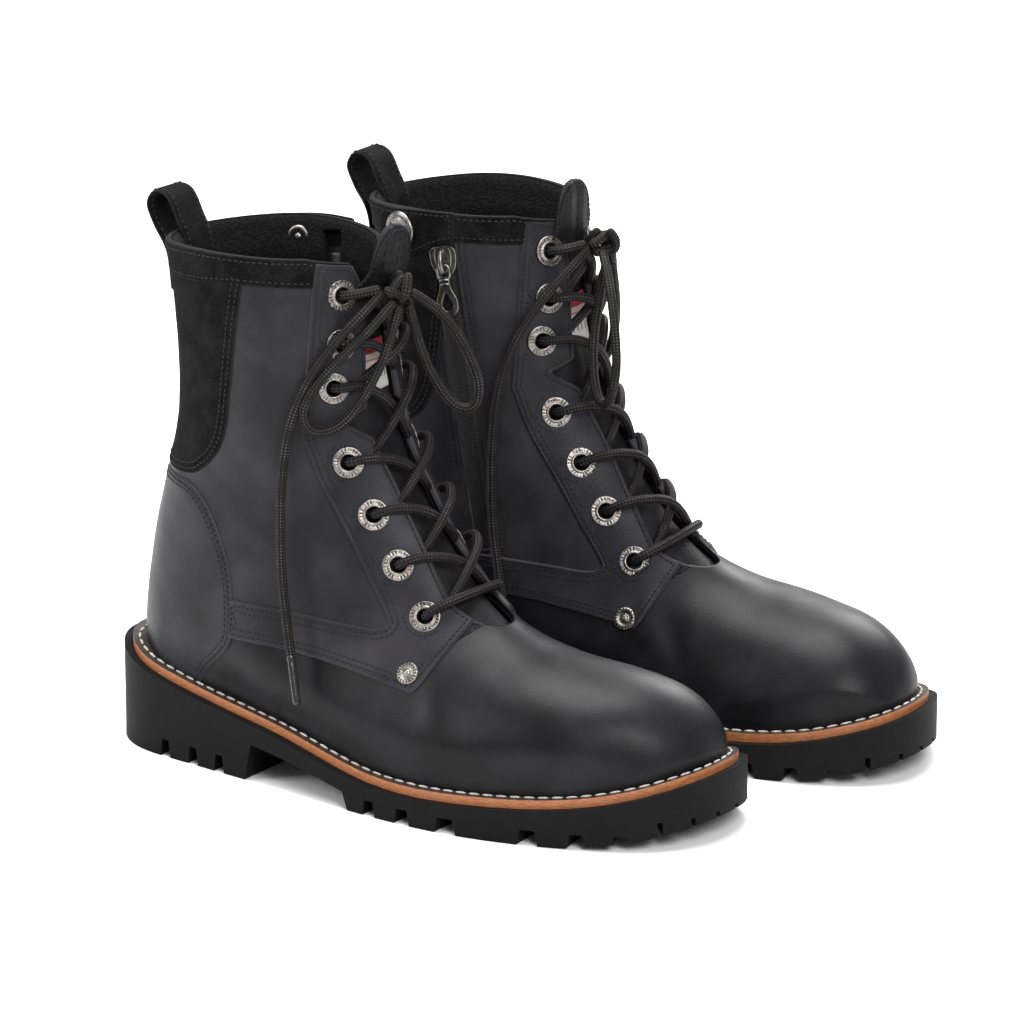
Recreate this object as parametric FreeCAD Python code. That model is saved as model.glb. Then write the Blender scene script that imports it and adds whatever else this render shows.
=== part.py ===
import FreeCAD, Part
import math
import os

# A pair of black lace-up leather boots with side zips and lugged rubber soles.
#
# Every piece is modelled once in the frame of one boot, in millimetres:
# x towards the outer (lateral) side, y from the back of the heel towards the toe, z up from the floor.
# The right boot is that frame turned to face -Y; the left boot is its mirror image, set a little forward.

Vector = FreeCAD.Vector
Rotation = FreeCAD.Rotation

# ---------------------------------------------------------------- driving dimensions
RIGHT_AT = (-62.6, 165.6)     # where the right boot's heel origin stands in the pair's frame
LEFT_STEP = (-113.0, 29.0)    # from the right boot's origin to the left one's, in the right boot's frame
LEFT_TURN = 3.5               # degrees that the left boot is turned

BASE_THICK = 1.8              # vamp, quarters, counter, collar band and back patch
OVERLAY_THICK = 1.3           # facings, laid over the quarters
LINING_DEPTH = 4.0            # from the outer surface to the inside of the lining
STIFFENER_DEPTH = 3.0         # from the outer surface to the inside of the stiffeners
TONGUE_DEPTH = (4.4, 7.2)     # outer and inner surface of the tongue

WELT_THICK = 4.0
WELT_LEDGE = 11.0             # width of the welt under the upper's edge
SOLE_FLANGE = 4.0             # how far the rubber sole stands out past the welt
INSOLE_THICK = 4.0
FOOTBED_THICK = 4.0
LUG_DEPTH = 7.0
HEEL_LUG_DEPTH = 8.0
HEEL_BREAST_Y = 87.0

EYELET_HOLE_R = 3.4
EYELET_BARREL_R = 4.1
EYELET_FLANGE_R = 7.0
EYELET_FLANGE_THICK = 1.0
EYELET_ROLL = 0.45            # rounding of the flange's outer edge
EYELET_LENGTH = 5.8
RIVET_R = 5.2

LACE_D = 4.4
AGLET_LENGTH = 22.0
PULL_LOOP_WIDTH = 20.0
PULL_LOOP_THICK = 1.8

ZIP_TOP = (79.0, 218.0)       # y, z of the upper end of the chain
ZIP_BOTTOM = (100.0, 80.0)
TAPE_WIDTH = 15.0
TAPE_THICK = 0.9
TEETH_WIDTH = 5.0
TEETH_THICK = 2.2
ZIP_SLOT = 11.0
ZIP_TRAVEL = 104.0
ZIP_POST = 1.2                # width of the post between the slider's two plates
SLIDER_SIZE = (9.6, 13.0)
PULL_TAB_LENGTH = 23.0        # from the pin to the tab's end
PIN_R = 0.7                   # the pin that the tab hangs from
PIN_FROM_TOP = 5.0            # how far down the slider the pin lies
PIN_LIFT = 1.8                # how far it stands off the slider's front plate

# ---------------------------------------------------------------- the shape of the upper
# Each ring is one section of the boot: front point (y, z), back or bottom point (y, z),
# middle x, outer and inner half widths, and how much the section is a foot's (1) or a shaft's (0).
RINGS = [
    (117, 266, 13, 262, 0, 43, 43, 0.0),
    (120, 245, 19, 245, 0, 44, 44, 0.0),
    (124, 222, 24, 220, 0, 44, 44, 0.0),
    (128, 198, 27, 192, 0, 43, 43, 0.0),
    (131, 174, 27, 164, 0, 42, 42, 0.0),
    (138, 152, 21, 136, 0, 41, 41, 0.0),
    (149, 132, 12, 110, 0, 41, 41, 0.0),
    (162, 114, 5, 84, 0, 41, 40, 0.0),
    (176, 98, 2, 58, 0, 42, 40, 0.1),
    (190, 85, 6, 30, 1, 45, 42, 0.35),
    (204, 76, 75, 18, 2, 50, 45, 0.7),
    (220, 71, 140, 8, 3, 54, 48, 0.95),
    (238, 69, 192, 4, 3, 55, 49, 1.0),
    (256, 67, 230, 3, 1, 52, 49, 1.0),
    (273, 63, 248, 3, -2, 47, 46, 1.0),
    (288, 54, 257, 2, -4, 41, 42, 1.0),
    (297, 42, 264, -1, -5, 36, 37, 1.0),
    (299, 27, 270, -6, -6, 30, 31, 1.0),
]
# How far round a section each of its points lies: share of the way down, and share of the half width.
SHAFT_SECTION = [(0, 0), (0.038, 0.383), (0.146, 0.707), (0.309, 0.924), (0.5, 1),
                 (0.691, 0.924), (0.854, 0.707), (0.962, 0.383), (1, 0)]
FOOT_SECTION = [(0, 0), (0.04, 0.36), (0.16, 0.66), (0.36, 0.86), (0.6, 0.97),
                (0.82, 1), (0.97, 0.9), (1, 0.5), (1, 0)]

# The feather line, where the upper meets the welt: y, z of the welt's top.
BED = [(-12, 53), (0, 49), (30, 41), (60, 35), (110, 27), (160, 17.5), (210, 17.5), (260, 22),
       (302, 33), (316, 38)]
# The welt's outer edge, seen from above.
WELT_EDGE = [(0, 1), (21, 5), (34.5, 21), (40, 46), (44, 75), (48, 105), (53.5, 139), (57.5, 174),
             (57.5, 204), (52.5, 233.5), (44.5, 260.5), (32, 284), (13, 298), (-7.5, 302),
             (-27, 296.5), (-40.5, 278.5), (-48, 252.5), (-50, 222), (-47, 190), (-43, 155),
             (-40, 120), (-39, 85), (-38, 50), (-34, 22), (-21.5, 4.5)]

# ---------------------------------------------------------------- pattern pieces, as side views (y, z)
RIM = [[(-20, 233), (20, 234), (60, 237), (108, 236)], [(108, 236), (122, 231), (129, 222)],
       [(129, 222), (150, 222)]]
COLLAR_LINE = [(-20, 221), (45, 221.5), (80, 224), (111, 223)]
BACK_PATCH_FRONT = [(84, 224), (80, 200), (76, 175), (71, 152), (60, 138), (42, 131), (-10, 131)]
COUNTER_EDGE = [(-10, 129), (36, 129), (50, 127), (60, 120), (68, 107), (73.5, 93), (75.5, 78),
                (76, 62), (70, 53), (58, 42), (50, 30)]
QUARTER_FOOT = [(75, 68), (110, 68), (145, 67), (165, 70), (182, 80), (196, 96)]
FACING_BACK = [[(111, 250), (110.5, 200), (109, 158)], [(109, 158), (117, 138), (130, 116), (143, 95)],
               [(143, 95), (152, 82), (153, 78), (147, 76.5)], [(147, 76.5), (110, 79), (74, 79.5)],
               [(74, 79.5), (74, 62)], [(74, 62), (110, 62), (141, 59), (174, 54.5)],
               [(174, 54.5), (178, 60), (186, 80), (190, 95)]]
# Half of the gap between the facings, seen from the front (x, z), with the notch at the instep.
THROAT = [[(6.5, 270), (6.5, 232), (8, 205), (12, 169)], [(12, 169), (23, 164)], [(23, 164), (12.5, 156)],
          [(12.5, 156), (10.5, 133), (12.5, 108), (16, 88)], [(16, 88), (14, 82), (8, 79.5), (0, 79)]]
TONGUE_TAB = [[(-30, 95), (-31, 190), (-27, 232)], [(-27, 232), (-22, 244), (-12, 250), (0, 251.5)],
              [(0, 251.5), (12, 250), (22, 244), (27, 232)], [(27, 232), (31, 190), (30, 95)],
              [(30, 95), (20, 78), (0, 72), (-20, 78), (-30, 95)]]
FLAP = [[(84.5, 236), (84.5, 225)], [(84.5, 225), (75, 221.5), (66, 217), (55, 213), (45, 216), (42, 226)],
        [(42, 226), (42.5, 232), (46, 236)], [(46, 236), (66, 237.5), (84.5, 237.5)],
        [(84.5, 237.5), (84.5, 236)]]
FLAP_HINGE = (84.5, 224)      # y, z of the fold that the flap turns about
FLAP_GAP = 0.5
FLAP_THICK = 1.6
SNAP_AT = (57, 227)
SNAP_R = 8.5

# Centres of the eyelets from the toe upwards, near the outer surface: x, y, z. Then the rivet.
EYELETS = [(25, 168, 82.5), (22.5, 152, 103), (22.5, 139, 124), (24.3, 127, 146.5), (24.5, 119.5, 179),
           (20.5, 121, 198), (17.5, 119, 219)]
RIVET = (40, 170, 60.5)

# ---------------------------------------------------------------- laces
KNOT_AT = (0, 137, 222)
KNOT_SIZE = (9.0, 7.0, 6.5)
# The bow's two loops and two free ends: hand-set points, the first and last at the knot or the tip.
LACE_ROUTES = {
    "right": {
        "loop_outer": [(5, 139, 217), (15, 135, 207), (26, 126, 195), (36, 117, 181), (40, 112.5, 169),
                       (36, 116.5, 160), (28, 126, 163), (21, 133, 175), (14, 138, 190), (8, 140, 204),
                       (3, 140, 215)],
        "loop_inner": [(-5, 140, 219), (-13, 146, 213), (-21, 152, 202), (-27, 157, 188), (-31, 160, 174),
                       (-31, 157, 163), (-27, 150, 163), (-21, 144.5, 173), (-14, 141.5, 187),
                       (-8, 141, 201), (-3, 141, 213)],
        "end_outer": [(7, 134, 221), (17, 131, 213), (27, 123, 201), (35, 115.5, 187), (41, 109.5, 170),
                      (44.5, 107, 152), (46, 106, 133), (46.5, 106, 114), (48, 107.5, 96),
                      (50, 111, 79), (53.5, 116, 63)],
        "end_inner": [(-7, 134, 220), (-17, 132, 212), (-27, 124, 200), (-36, 114, 187), (-43, 105, 172),
                      (-47.5, 97, 156), (-49, 91.5, 138), (-48.5, 88, 120)],
    },
    "left": {
        "loop_outer": [(5, 140, 219), (12, 146, 213), (20, 153, 202), (27, 159, 187), (31, 162, 171),
                       (32, 159, 157), (29, 152.5, 154), (24, 146, 164), (17, 142, 180), (10, 141, 197),
                       (3, 141, 213)],
        "loop_inner": [(-5, 139, 217), (-15, 135, 207), (-26, 126, 194), (-36, 116, 180), (-42, 107.5, 166),
                       (-41, 107, 155), (-34, 117, 154), (-27, 127, 164), (-19, 134, 179), (-11, 138.5, 196),
                       (-4, 140, 212)],
        "end_outer": [(7, 134, 221), (17, 131, 213), (27, 123, 201), (35, 115.5, 187), (41, 109.5, 170),
                      (44.5, 107, 152), (46, 106, 133), (46.5, 106, 114), (48, 107.5, 96),
                      (50, 111, 79), (53.5, 116, 63)],
        "end_inner": [(-7, 134, 220), (-17, 132, 212), (-28, 123, 200), (-37, 113, 186), (-44, 103, 170),
                      (-47.5, 94, 152), (-48.5, 87.5, 133), (-48.5, 84, 114)],
    },
}


# ---------------------------------------------------------------- small helpers
def to_vectors(points):
    return [Vector(*point) for point in points]


def smooth_edge(points):
    """A straight edge through two points, or a smooth one through more."""
    if len(points) == 2:
        return Part.LineSegment(points[0], points[1]).toShape()
    curve = Part.BSplineCurve()
    curve.interpolate(points)
    return curve.toShape()


def prism(stretches, plane, low, high):
    """A solid with the outline made of smooth stretches, pushed along the third axis from low to high."""
    place = {"yz": lambda a, b: Vector(low, a, b), "xz": lambda a, b: Vector(a, low, b),
             "xy": lambda a, b: Vector(a, b, low)}[plane]
    deep = high - low
    push = {"yz": Vector(deep, 0, 0), "xz": Vector(0, deep, 0), "xy": Vector(0, 0, deep)}[plane]
    edges = [smooth_edge([place(a, b) for a, b in stretch]) for stretch in stretches]
    first, last = stretches[0][0], stretches[-1][-1]
    if first != last:
        edges.append(smooth_edge([place(*last), place(*first)]))
    return Part.Face(Part.Wire(edges)).extrude(push)


def solids_of(shape, smallest=1.0):
    """The shape's solids without crumbs, as one compound or a single solid."""
    kept = [solid for solid in shape.Solids if solid.Volume > smallest]
    if len(kept) == 1:
        return kept[0]
    return Part.makeCompound(kept)


def biggest(shape):
    return max(shape.Solids, key=lambda solid: solid.Volume)


def at_frame(shape, origin, along, normal):
    """Places a shape made round the origin, with +Z as normal and +X as along."""
    z_axis = Vector(normal).normalize()
    x_axis = Vector(along) - z_axis * Vector(along).dot(z_axis)
    x_axis.normalize()
    y_axis = z_axis.cross(x_axis)
    placed = shape.copy()
    placed.Placement = FreeCAD.Placement(origin, Rotation(x_axis, y_axis, z_axis, "ZXY"))
    return placed


# ---------------------------------------------------------------- the upper's surface
def ring_points(ring):
    front_y, front_z, back_y, back_z, middle, outer, inner, foot = ring
    points = []
    for step in range(16):
        index = step if step <= 8 else 16 - step
        down = (1 - foot) * SHAFT_SECTION[index][0] + foot * FOOT_SECTION[index][0]
        wide = (1 - foot) * SHAFT_SECTION[index][1] + foot * FOOT_SECTION[index][1]
        x = middle + (outer * wide if step <= 8 else -inner * wide)
        points.append(Vector(x, front_y + (back_y - front_y) * down, front_z + (back_z - front_z) * down))
    return points


def net(depth):
    """The control points of the surface that lies depth millimetres inside the upper's outer surface."""
    rows = [ring_points(ring) for ring in RINGS]
    if depth == 0:
        return rows
    moved = []
    for i, row in enumerate(rows):
        before, after = rows[max(i - 1, 0)], rows[min(i + 1, len(rows) - 1)]
        middle = sum(row, Vector()) * (1.0 / len(row))
        new_row = []
        for j, point in enumerate(row):
            normal = (after[j] - before[j]).cross(row[(j + 1) % 16] - row[j - 1])
            if i in (0, len(rows) - 1):
                ring_axis = (row[8] - row[0]).cross(Vector(1, 0, 0)).normalize()
                normal = normal - ring_axis * normal.dot(ring_axis)
            normal.normalize()
            if normal.dot(point - middle) < 0:
                normal = normal * -1
            new_row.append(point - normal * depth)
        moved.append(new_row)
    return moved


def skin_surface(depth):
    poles = net(depth)
    count = len(poles)
    inside = count - 3
    surface = Part.BSplineSurface()
    surface.buildFromPolesMultsKnots(poles, [4] + [1] * (inside - 1) + [4], [1] * 17,
                                     [i / inside for i in range(inside + 1)], [j / 16.0 for j in range(17)],
                                     False, True, 3, 3)
    return surface


def last(depth):
    """The solid inside the skin that lies depth millimetres inside the outer surface."""
    surface = skin_surface(depth)
    low, high = surface.bounds()[0], surface.bounds()[1]
    faces = [surface.toShape()]
    for end in (low, high):
        faces.append(Part.Face(Part.Wire([surface.uIso(end).toShape()])))
    shell = Part.makeShell(faces)
    shell.sewShape()
    solid = Part.Solid(shell)
    if solid.Volume < 0:
        solid.reverse()
    return solid


OUTER = skin_surface(0)


def on_skin(point, depth=0.0):
    """The outer surface's point nearest to point, moved inwards by depth, and the outward normal."""
    near = Vector(*point)
    u, v = OUTER.parameter(near)
    found = OUTER.value(u, v)
    normal = OUTER.normal(u, v)
    if normal.dot(found - Vector(0, found.y - 10 if found.z < 70 else 75, found.z - 5)) < 0:
        normal = normal * -1
    return found - normal * depth, normal


# ---------------------------------------------------------------- cords
def arc_path(points):
    """Straight runs joined by tangent arcs, as large as each pair allows. Returns the wire and radii."""
    corners = to_vectors(points)
    edges, radii = [], []
    start = corners[0]
    for i in range(1, len(corners) - 1):
        before, corner, after = corners[i - 1], corners[i], corners[i + 1]
        toward, away = (before - corner), (after - corner)
        run = 0.45 * min(toward.Length, away.Length)
        toward.normalize()
        away.normalize()
        half_turn = (math.pi - toward.getAngle(away)) / 2
        radii.append(run / math.tan(half_turn))
        bisector = (toward + away).normalize()
        centre_distance = radii[-1] / math.cos(half_turn)
        first, second = corner + toward * run, corner + away * run
        middle = corner + bisector * (centre_distance - radii[-1])
        edges.append(Part.LineSegment(start, first).toShape())
        edges.append(Part.Arc(first, middle, second).toShape())
        start = second
    edges.append(Part.LineSegment(start, corners[-1]).toShape())
    return Part.Wire(edges), radii


def tube(points, diameter):
    path, radii = arc_path(points)
    start = Vector(*points[0])
    direction = Vector(*points[1]) - start
    section = Part.Wire([Part.Circle(start, direction, diameter / 2).toShape()])
    solid = path.makePipeShell([section], True, False, 1)
    expected = math.pi * diameter ** 2 / 4 * path.Length
    print(f"    tube {path.Length:6.1f} mm, smallest radius {min(radii):5.1f}, "
          f"volume {solid.Volume / expected:.3f}")
    return solid


# ---------------------------------------------------------------- sole unit
def under_bed(drop, floor=-20.0):
    """Everything below the bed curve, lowered by drop."""
    top = [(y, z - drop) for y, z in BED]
    return prism([top, [top[-1], (top[-1][0], floor)], [(top[-1][0], floor), (top[0][0], floor)]],
                 "yz", -80, 80)


def plan_prism(offset):
    """The welt's outline in plan, moved outwards by offset."""
    curve = Part.BSplineCurve()
    curve.interpolate([Vector(x, y, -5) for x, y in WELT_EDGE], PeriodicFlag=True)
    if offset:
        moved = []
        for x, y in WELT_EDGE:
            at = curve.parameter(Vector(x, y, -5))
            tangent = curve.tangent(at)[0]
            moved.append(Vector(x, y, -5) + tangent.cross(Vector(0, 0, 1)).normalize() * offset)
        curve = Part.BSplineCurve()
        curve.interpolate(moved, PeriodicFlag=True)
    return Part.Face(Part.Wire([curve.toShape()])).extrude(Vector(0, 0, 70))


def make_welt():
    slab = under_bed(0).cut(under_bed(WELT_THICK))
    ring = plan_prism(0).cut(plan_prism(-WELT_LEDGE))
    return biggest(slab.common(ring))


def make_insole(shank):
    slab = under_bed(0).cut(under_bed(INSOLE_THICK))
    board = slab.common(plan_prism(-WELT_LEDGE))
    return biggest(board.cut(shank))


def make_shank():
    """A spring-steel strip under the waist of the insole."""
    slab = under_bed(INSOLE_THICK - 1.5).cut(under_bed(INSOLE_THICK))
    strip = Part.makeBox(15, 110, 90, Vector(-7.5, 45, -20))
    return biggest(slab.common(strip))


def make_footbed(lining_inside):
    slab = under_bed(-FOOTBED_THICK).cut(under_bed(0))
    return biggest(slab.common(lining_inside))


def side_cut(y, width, depth, side, height, lean=0.0):
    """A tapered slot that opens through the sole's edge and its tread."""
    reach = 80.0
    low = [(y - width * 0.65, -2), (y + width * 0.65, -2),
           (y + width * 0.4, height), (y - width * 0.4, height)]
    slot = prism([[low[0], low[1]], [low[1], low[2]], [low[2], low[3]]], "yz", 0, reach)
    slot.rotate(Vector(0, y, 0), Vector(0, 0, 1), lean)
    slot.translate(Vector(depth, 0, 0))
    if side < 0:
        slot = slot.mirror(Vector(0, 0, 0), Vector(1, 0, 0))
    return slot


def make_outsole():
    """The one-piece lugged rubber sole: heel block, arched waist, lugged forepart and toe spring."""
    floor = [(-9, 9), (-1, 0)], [(-1, 0), (HEEL_BREAST_Y, 0)], [(HEEL_BREAST_Y, 0), (HEEL_BREAST_Y + 4, 17)]
    waist = [(HEEL_BREAST_Y + 4, 17), (120, 13), (146, 8)], [(146, 8), (149, 0)], [(149, 0), (238, 0)]
    toe = [(238, 0), (275, 3.3), (312, 13)]
    top = [(y, z - WELT_THICK) for y, z in reversed(BED)]
    profile = [*floor, *waist, toe, [toe[-1], top[0]], top]
    block = prism(profile, "yz", -80, 80).common(plan_prism(SOLE_FLANGE))
    cuts = []
    for y in (38.5, 55.5, 71.5):
        cuts += [side_cut(y, 5, 22, side, HEEL_LUG_DEPTH) for side in (1, -1)]
    groove = Part.makeBox(8, 36, HEEL_LUG_DEPTH + 4, Vector(-4, HEEL_BREAST_Y - 30, -4))
    cuts.append(groove)
    for y, width, lean in ((164, 6, -4), (181, 7, -2), (202, 9, 0), (237, 8, 5), (256, 7, 10), (272, 7, 18)):
        cuts += [side_cut(y, width, 21, side, LUG_DEPTH, lean) for side in (1, -1)]
    for y in (172, 192, 219, 246, 264):
        cuts.append(Part.makeBox(30, 6.5, LUG_DEPTH + 2, Vector(-15, y - 3.2, -2)))
    for angle in (-52, -30, -10, 10, 30, 52):
        slit = Part.makeBox(2.4, 30, 5 + 10, Vector(-1.2, 24, -2))
        slit.rotate(Vector(0, 0, 0), Vector(0, 0, 1), angle)
        slit.translate(Vector(-3, 266, 0))
        cuts.append(slit)
    return biggest(block.cut(cuts))


# ---------------------------------------------------------------- upper
class Upper:
    """The skins of one boot and the cutters that divide them into pattern pieces."""

    def __init__(self):
        outside, base_inside = last(0), last(BASE_THICK)
        self.inside = last(LINING_DEPTH)
        rim = self.side([*RIM, [(150, 222), (150, 300)], [(150, 300), (-20, 300)]])
        trims = [rim, under_bed(0)]
        self.overlay = last(-OVERLAY_THICK).cut(outside).cut(trims)
        self.base = outside.cut(base_inside).cut(trims)
        self.stiff = base_inside.cut(last(STIFFENER_DEPTH)).cut(trims)
        self.lining = base_inside.cut(self.inside).cut(trims)
        throat = [*THROAT, *[[(-x, z) for x, z in reversed(stretch)] for stretch in reversed(THROAT)]]
        self.throat = prism(throat, "xz", 95, 215)
        self.back_patch = self.side([BACK_PATCH_FRONT, [(-10, 131), (-10, 224)]])
        self.collar = self.side([COLLAR_LINE, [(111, 223), (111, 260)], [(111, 260), (-20, 260)]])
        self.counter = self.side([COUNTER_EDGE, [(50, 30), (-15, 30)], [(-15, 30), (-10, 129)]])
        foot = [QUARTER_FOOT, [(196, 96), (320, 130)], [(320, 130), (320, -10)], [(320, -10), (40, -10)],
                [(40, -10), (40, 68)]]
        self.foot = self.side(foot)

    @staticmethod
    def side(stretches):
        """What a side view's outline cuts out of the whole width of the boot."""
        return prism(stretches, "yz", -80, 80)


def half(side):
    """Everything on the outer (1) or inner (-1) side of the boot."""
    return Part.makeBox(90, 400, 400, Vector(0 if side > 0 else -90, -40, -60))


def make_leather(upper, eyelet_holes, zip_cuts, zip_chain):
    """Vamp, counter, quarters, collar band, back patch, facings, lining and stiffeners."""
    pieces = {}
    base = upper.base.cut(upper.throat)
    pieces["heel_counter"] = biggest(base.common(upper.counter))
    rest = base.cut(upper.counter)
    pieces["vamp"] = biggest(rest.common(upper.foot))
    rest = rest.cut(upper.foot)
    pieces["collar_band"] = biggest(rest.common(upper.collar))
    rest = rest.cut(upper.collar)
    patch = upper.back_patch.cut(Part.makeBox(90, 400, 400, Vector(-90 - 16, -40, -60)))
    pieces["back_patch"] = biggest(rest.common(patch))
    rest = rest.cut(patch)
    pieces["quarter_outer"] = biggest(rest.common(half(1))).cut(eyelet_holes)
    inner = rest.common(half(-1)).cut(eyelet_holes).cut(zip_cuts["leather"])
    pieces["quarter_inner"] = solids_of(inner.cut(zip_chain), 200)
    facing = upper.overlay.common(upper.side(FACING_BACK)).cut(upper.throat).cut(eyelet_holes)
    pieces["facing_outer"] = biggest(facing.common(half(1)))
    pieces["facing_inner"] = biggest(facing.common(half(-1)).cut(zip_cuts["leather"]))
    toe = Part.makeBox(200, 80, 200, Vector(-100, 248, -20))
    heel = upper.side([[(-12, 30), (-12, 98)], [(-12, 98), (40, 96), (62, 80), (68, 40)],
                       [(68, 40), (68, 30)]])
    stiffeners = Part.makeCompound([biggest(upper.stiff.common(toe)), biggest(upper.stiff.common(heel))])
    pieces["stiffeners"] = stiffeners
    lining = upper.lining.cut(upper.throat).cut(stiffeners.Solids).cut(eyelet_holes).cut(zip_cuts["lining"])
    pieces["lining"] = biggest(lining)
    return pieces


def make_tongue(upper):
    shell = last(TONGUE_DEPTH[0]).cut(last(TONGUE_DEPTH[1]))
    tab = prism(TONGUE_TAB, "xz", 95, 230)
    return biggest(shell.common(tab))


def make_flap():
    shell = last(-FLAP_GAP - FLAP_THICK).cut(last(-FLAP_GAP))
    return biggest(shell.common(prism(FLAP, "yz", -80, 0)))


def make_snap():
    """The press stud's stepped cap on the flap."""
    base, normal = on_skin((-43, *SNAP_AT), -(FLAP_GAP + FLAP_THICK))
    cap = Part.makeCone(SNAP_R, SNAP_R - 1.6, 1.6)
    ring = Part.makeTorus(SNAP_R - 2.3, 0.7, Vector(0, 0, 1.6))
    dome = Part.makeCylinder(SNAP_R - 4.0, 0.5, Vector(0, 0, 1.6))
    cap = cap.fuse([ring, dome])
    return at_frame(cap, base + normal * 0.15, Vector(0, 0, 1), normal)


def make_eyelets():
    """Rolled rings and barrels, and the cylinders that their holes take out of the leather."""
    rings, holes = [], []
    for x, y, z in EYELETS:
        for side in (1, -1):
            centre, normal = on_skin((side * x, y, z), -OVERLAY_THICK)
            flange = Part.makeCylinder(EYELET_FLANGE_R, EYELET_FLANGE_THICK)
            rim = [edge for edge in flange.Edges if edge.BoundBox.ZMin > EYELET_FLANGE_THICK - 0.001]
            flange = flange.makeFillet(EYELET_ROLL, rim)
            barrel = Part.makeCylinder(EYELET_BARREL_R, EYELET_LENGTH, Vector(0, 0, -EYELET_LENGTH + 0.1))
            bore = Part.makeCylinder(EYELET_HOLE_R, EYELET_LENGTH + 4, Vector(0, 0, -EYELET_LENGTH - 1))
            ring = flange.fuse(barrel).cut(bore)
            hole = Part.makeCylinder(EYELET_BARREL_R + 0.05, 16, Vector(0, 0, -10))
            rings.append(at_frame(ring, centre + normal * 0.35, Vector(0, 0, 1), normal))
            holes.append(at_frame(hole, centre, Vector(0, 0, 1), normal))
    return Part.makeCompound(rings), holes


def make_rivets():
    rivets = []
    for side in (1, -1):
        centre, normal = on_skin((side * RIVET[0], *RIVET[1:]), -OVERLAY_THICK)
        ring = Part.makeCone(RIVET_R, RIVET_R - 0.8, 1.2).cut(Part.makeCylinder(2.9, 1.2, Vector(0, 0, 0.5)))
        nub = Part.makeSphere(1.7, Vector(0, 0, 0.4)).cut(Part.makeBox(10, 10, 10, Vector(-5, -5, -10)))
        rivets.append(at_frame(ring.fuse(nub), centre + normal * 0.2, Vector(0, 0, 1), normal))
    return Part.makeCompound(rivets)


def zip_frame():
    """Top point, direction down the chain and outward normal of the straight zip."""
    top, _ = on_skin((-44, *ZIP_TOP), BASE_THICK)
    bottom, _ = on_skin((-44, *ZIP_BOTTOM), BASE_THICK)
    along = (bottom - top).normalize()
    _, normal = on_skin((-44, (ZIP_TOP[0] + ZIP_BOTTOM[0]) / 2, (ZIP_TOP[1] + ZIP_BOTTOM[1]) / 2))
    normal = (normal - along * normal.dot(along)).normalize()
    return top, bottom, along, normal


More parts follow.
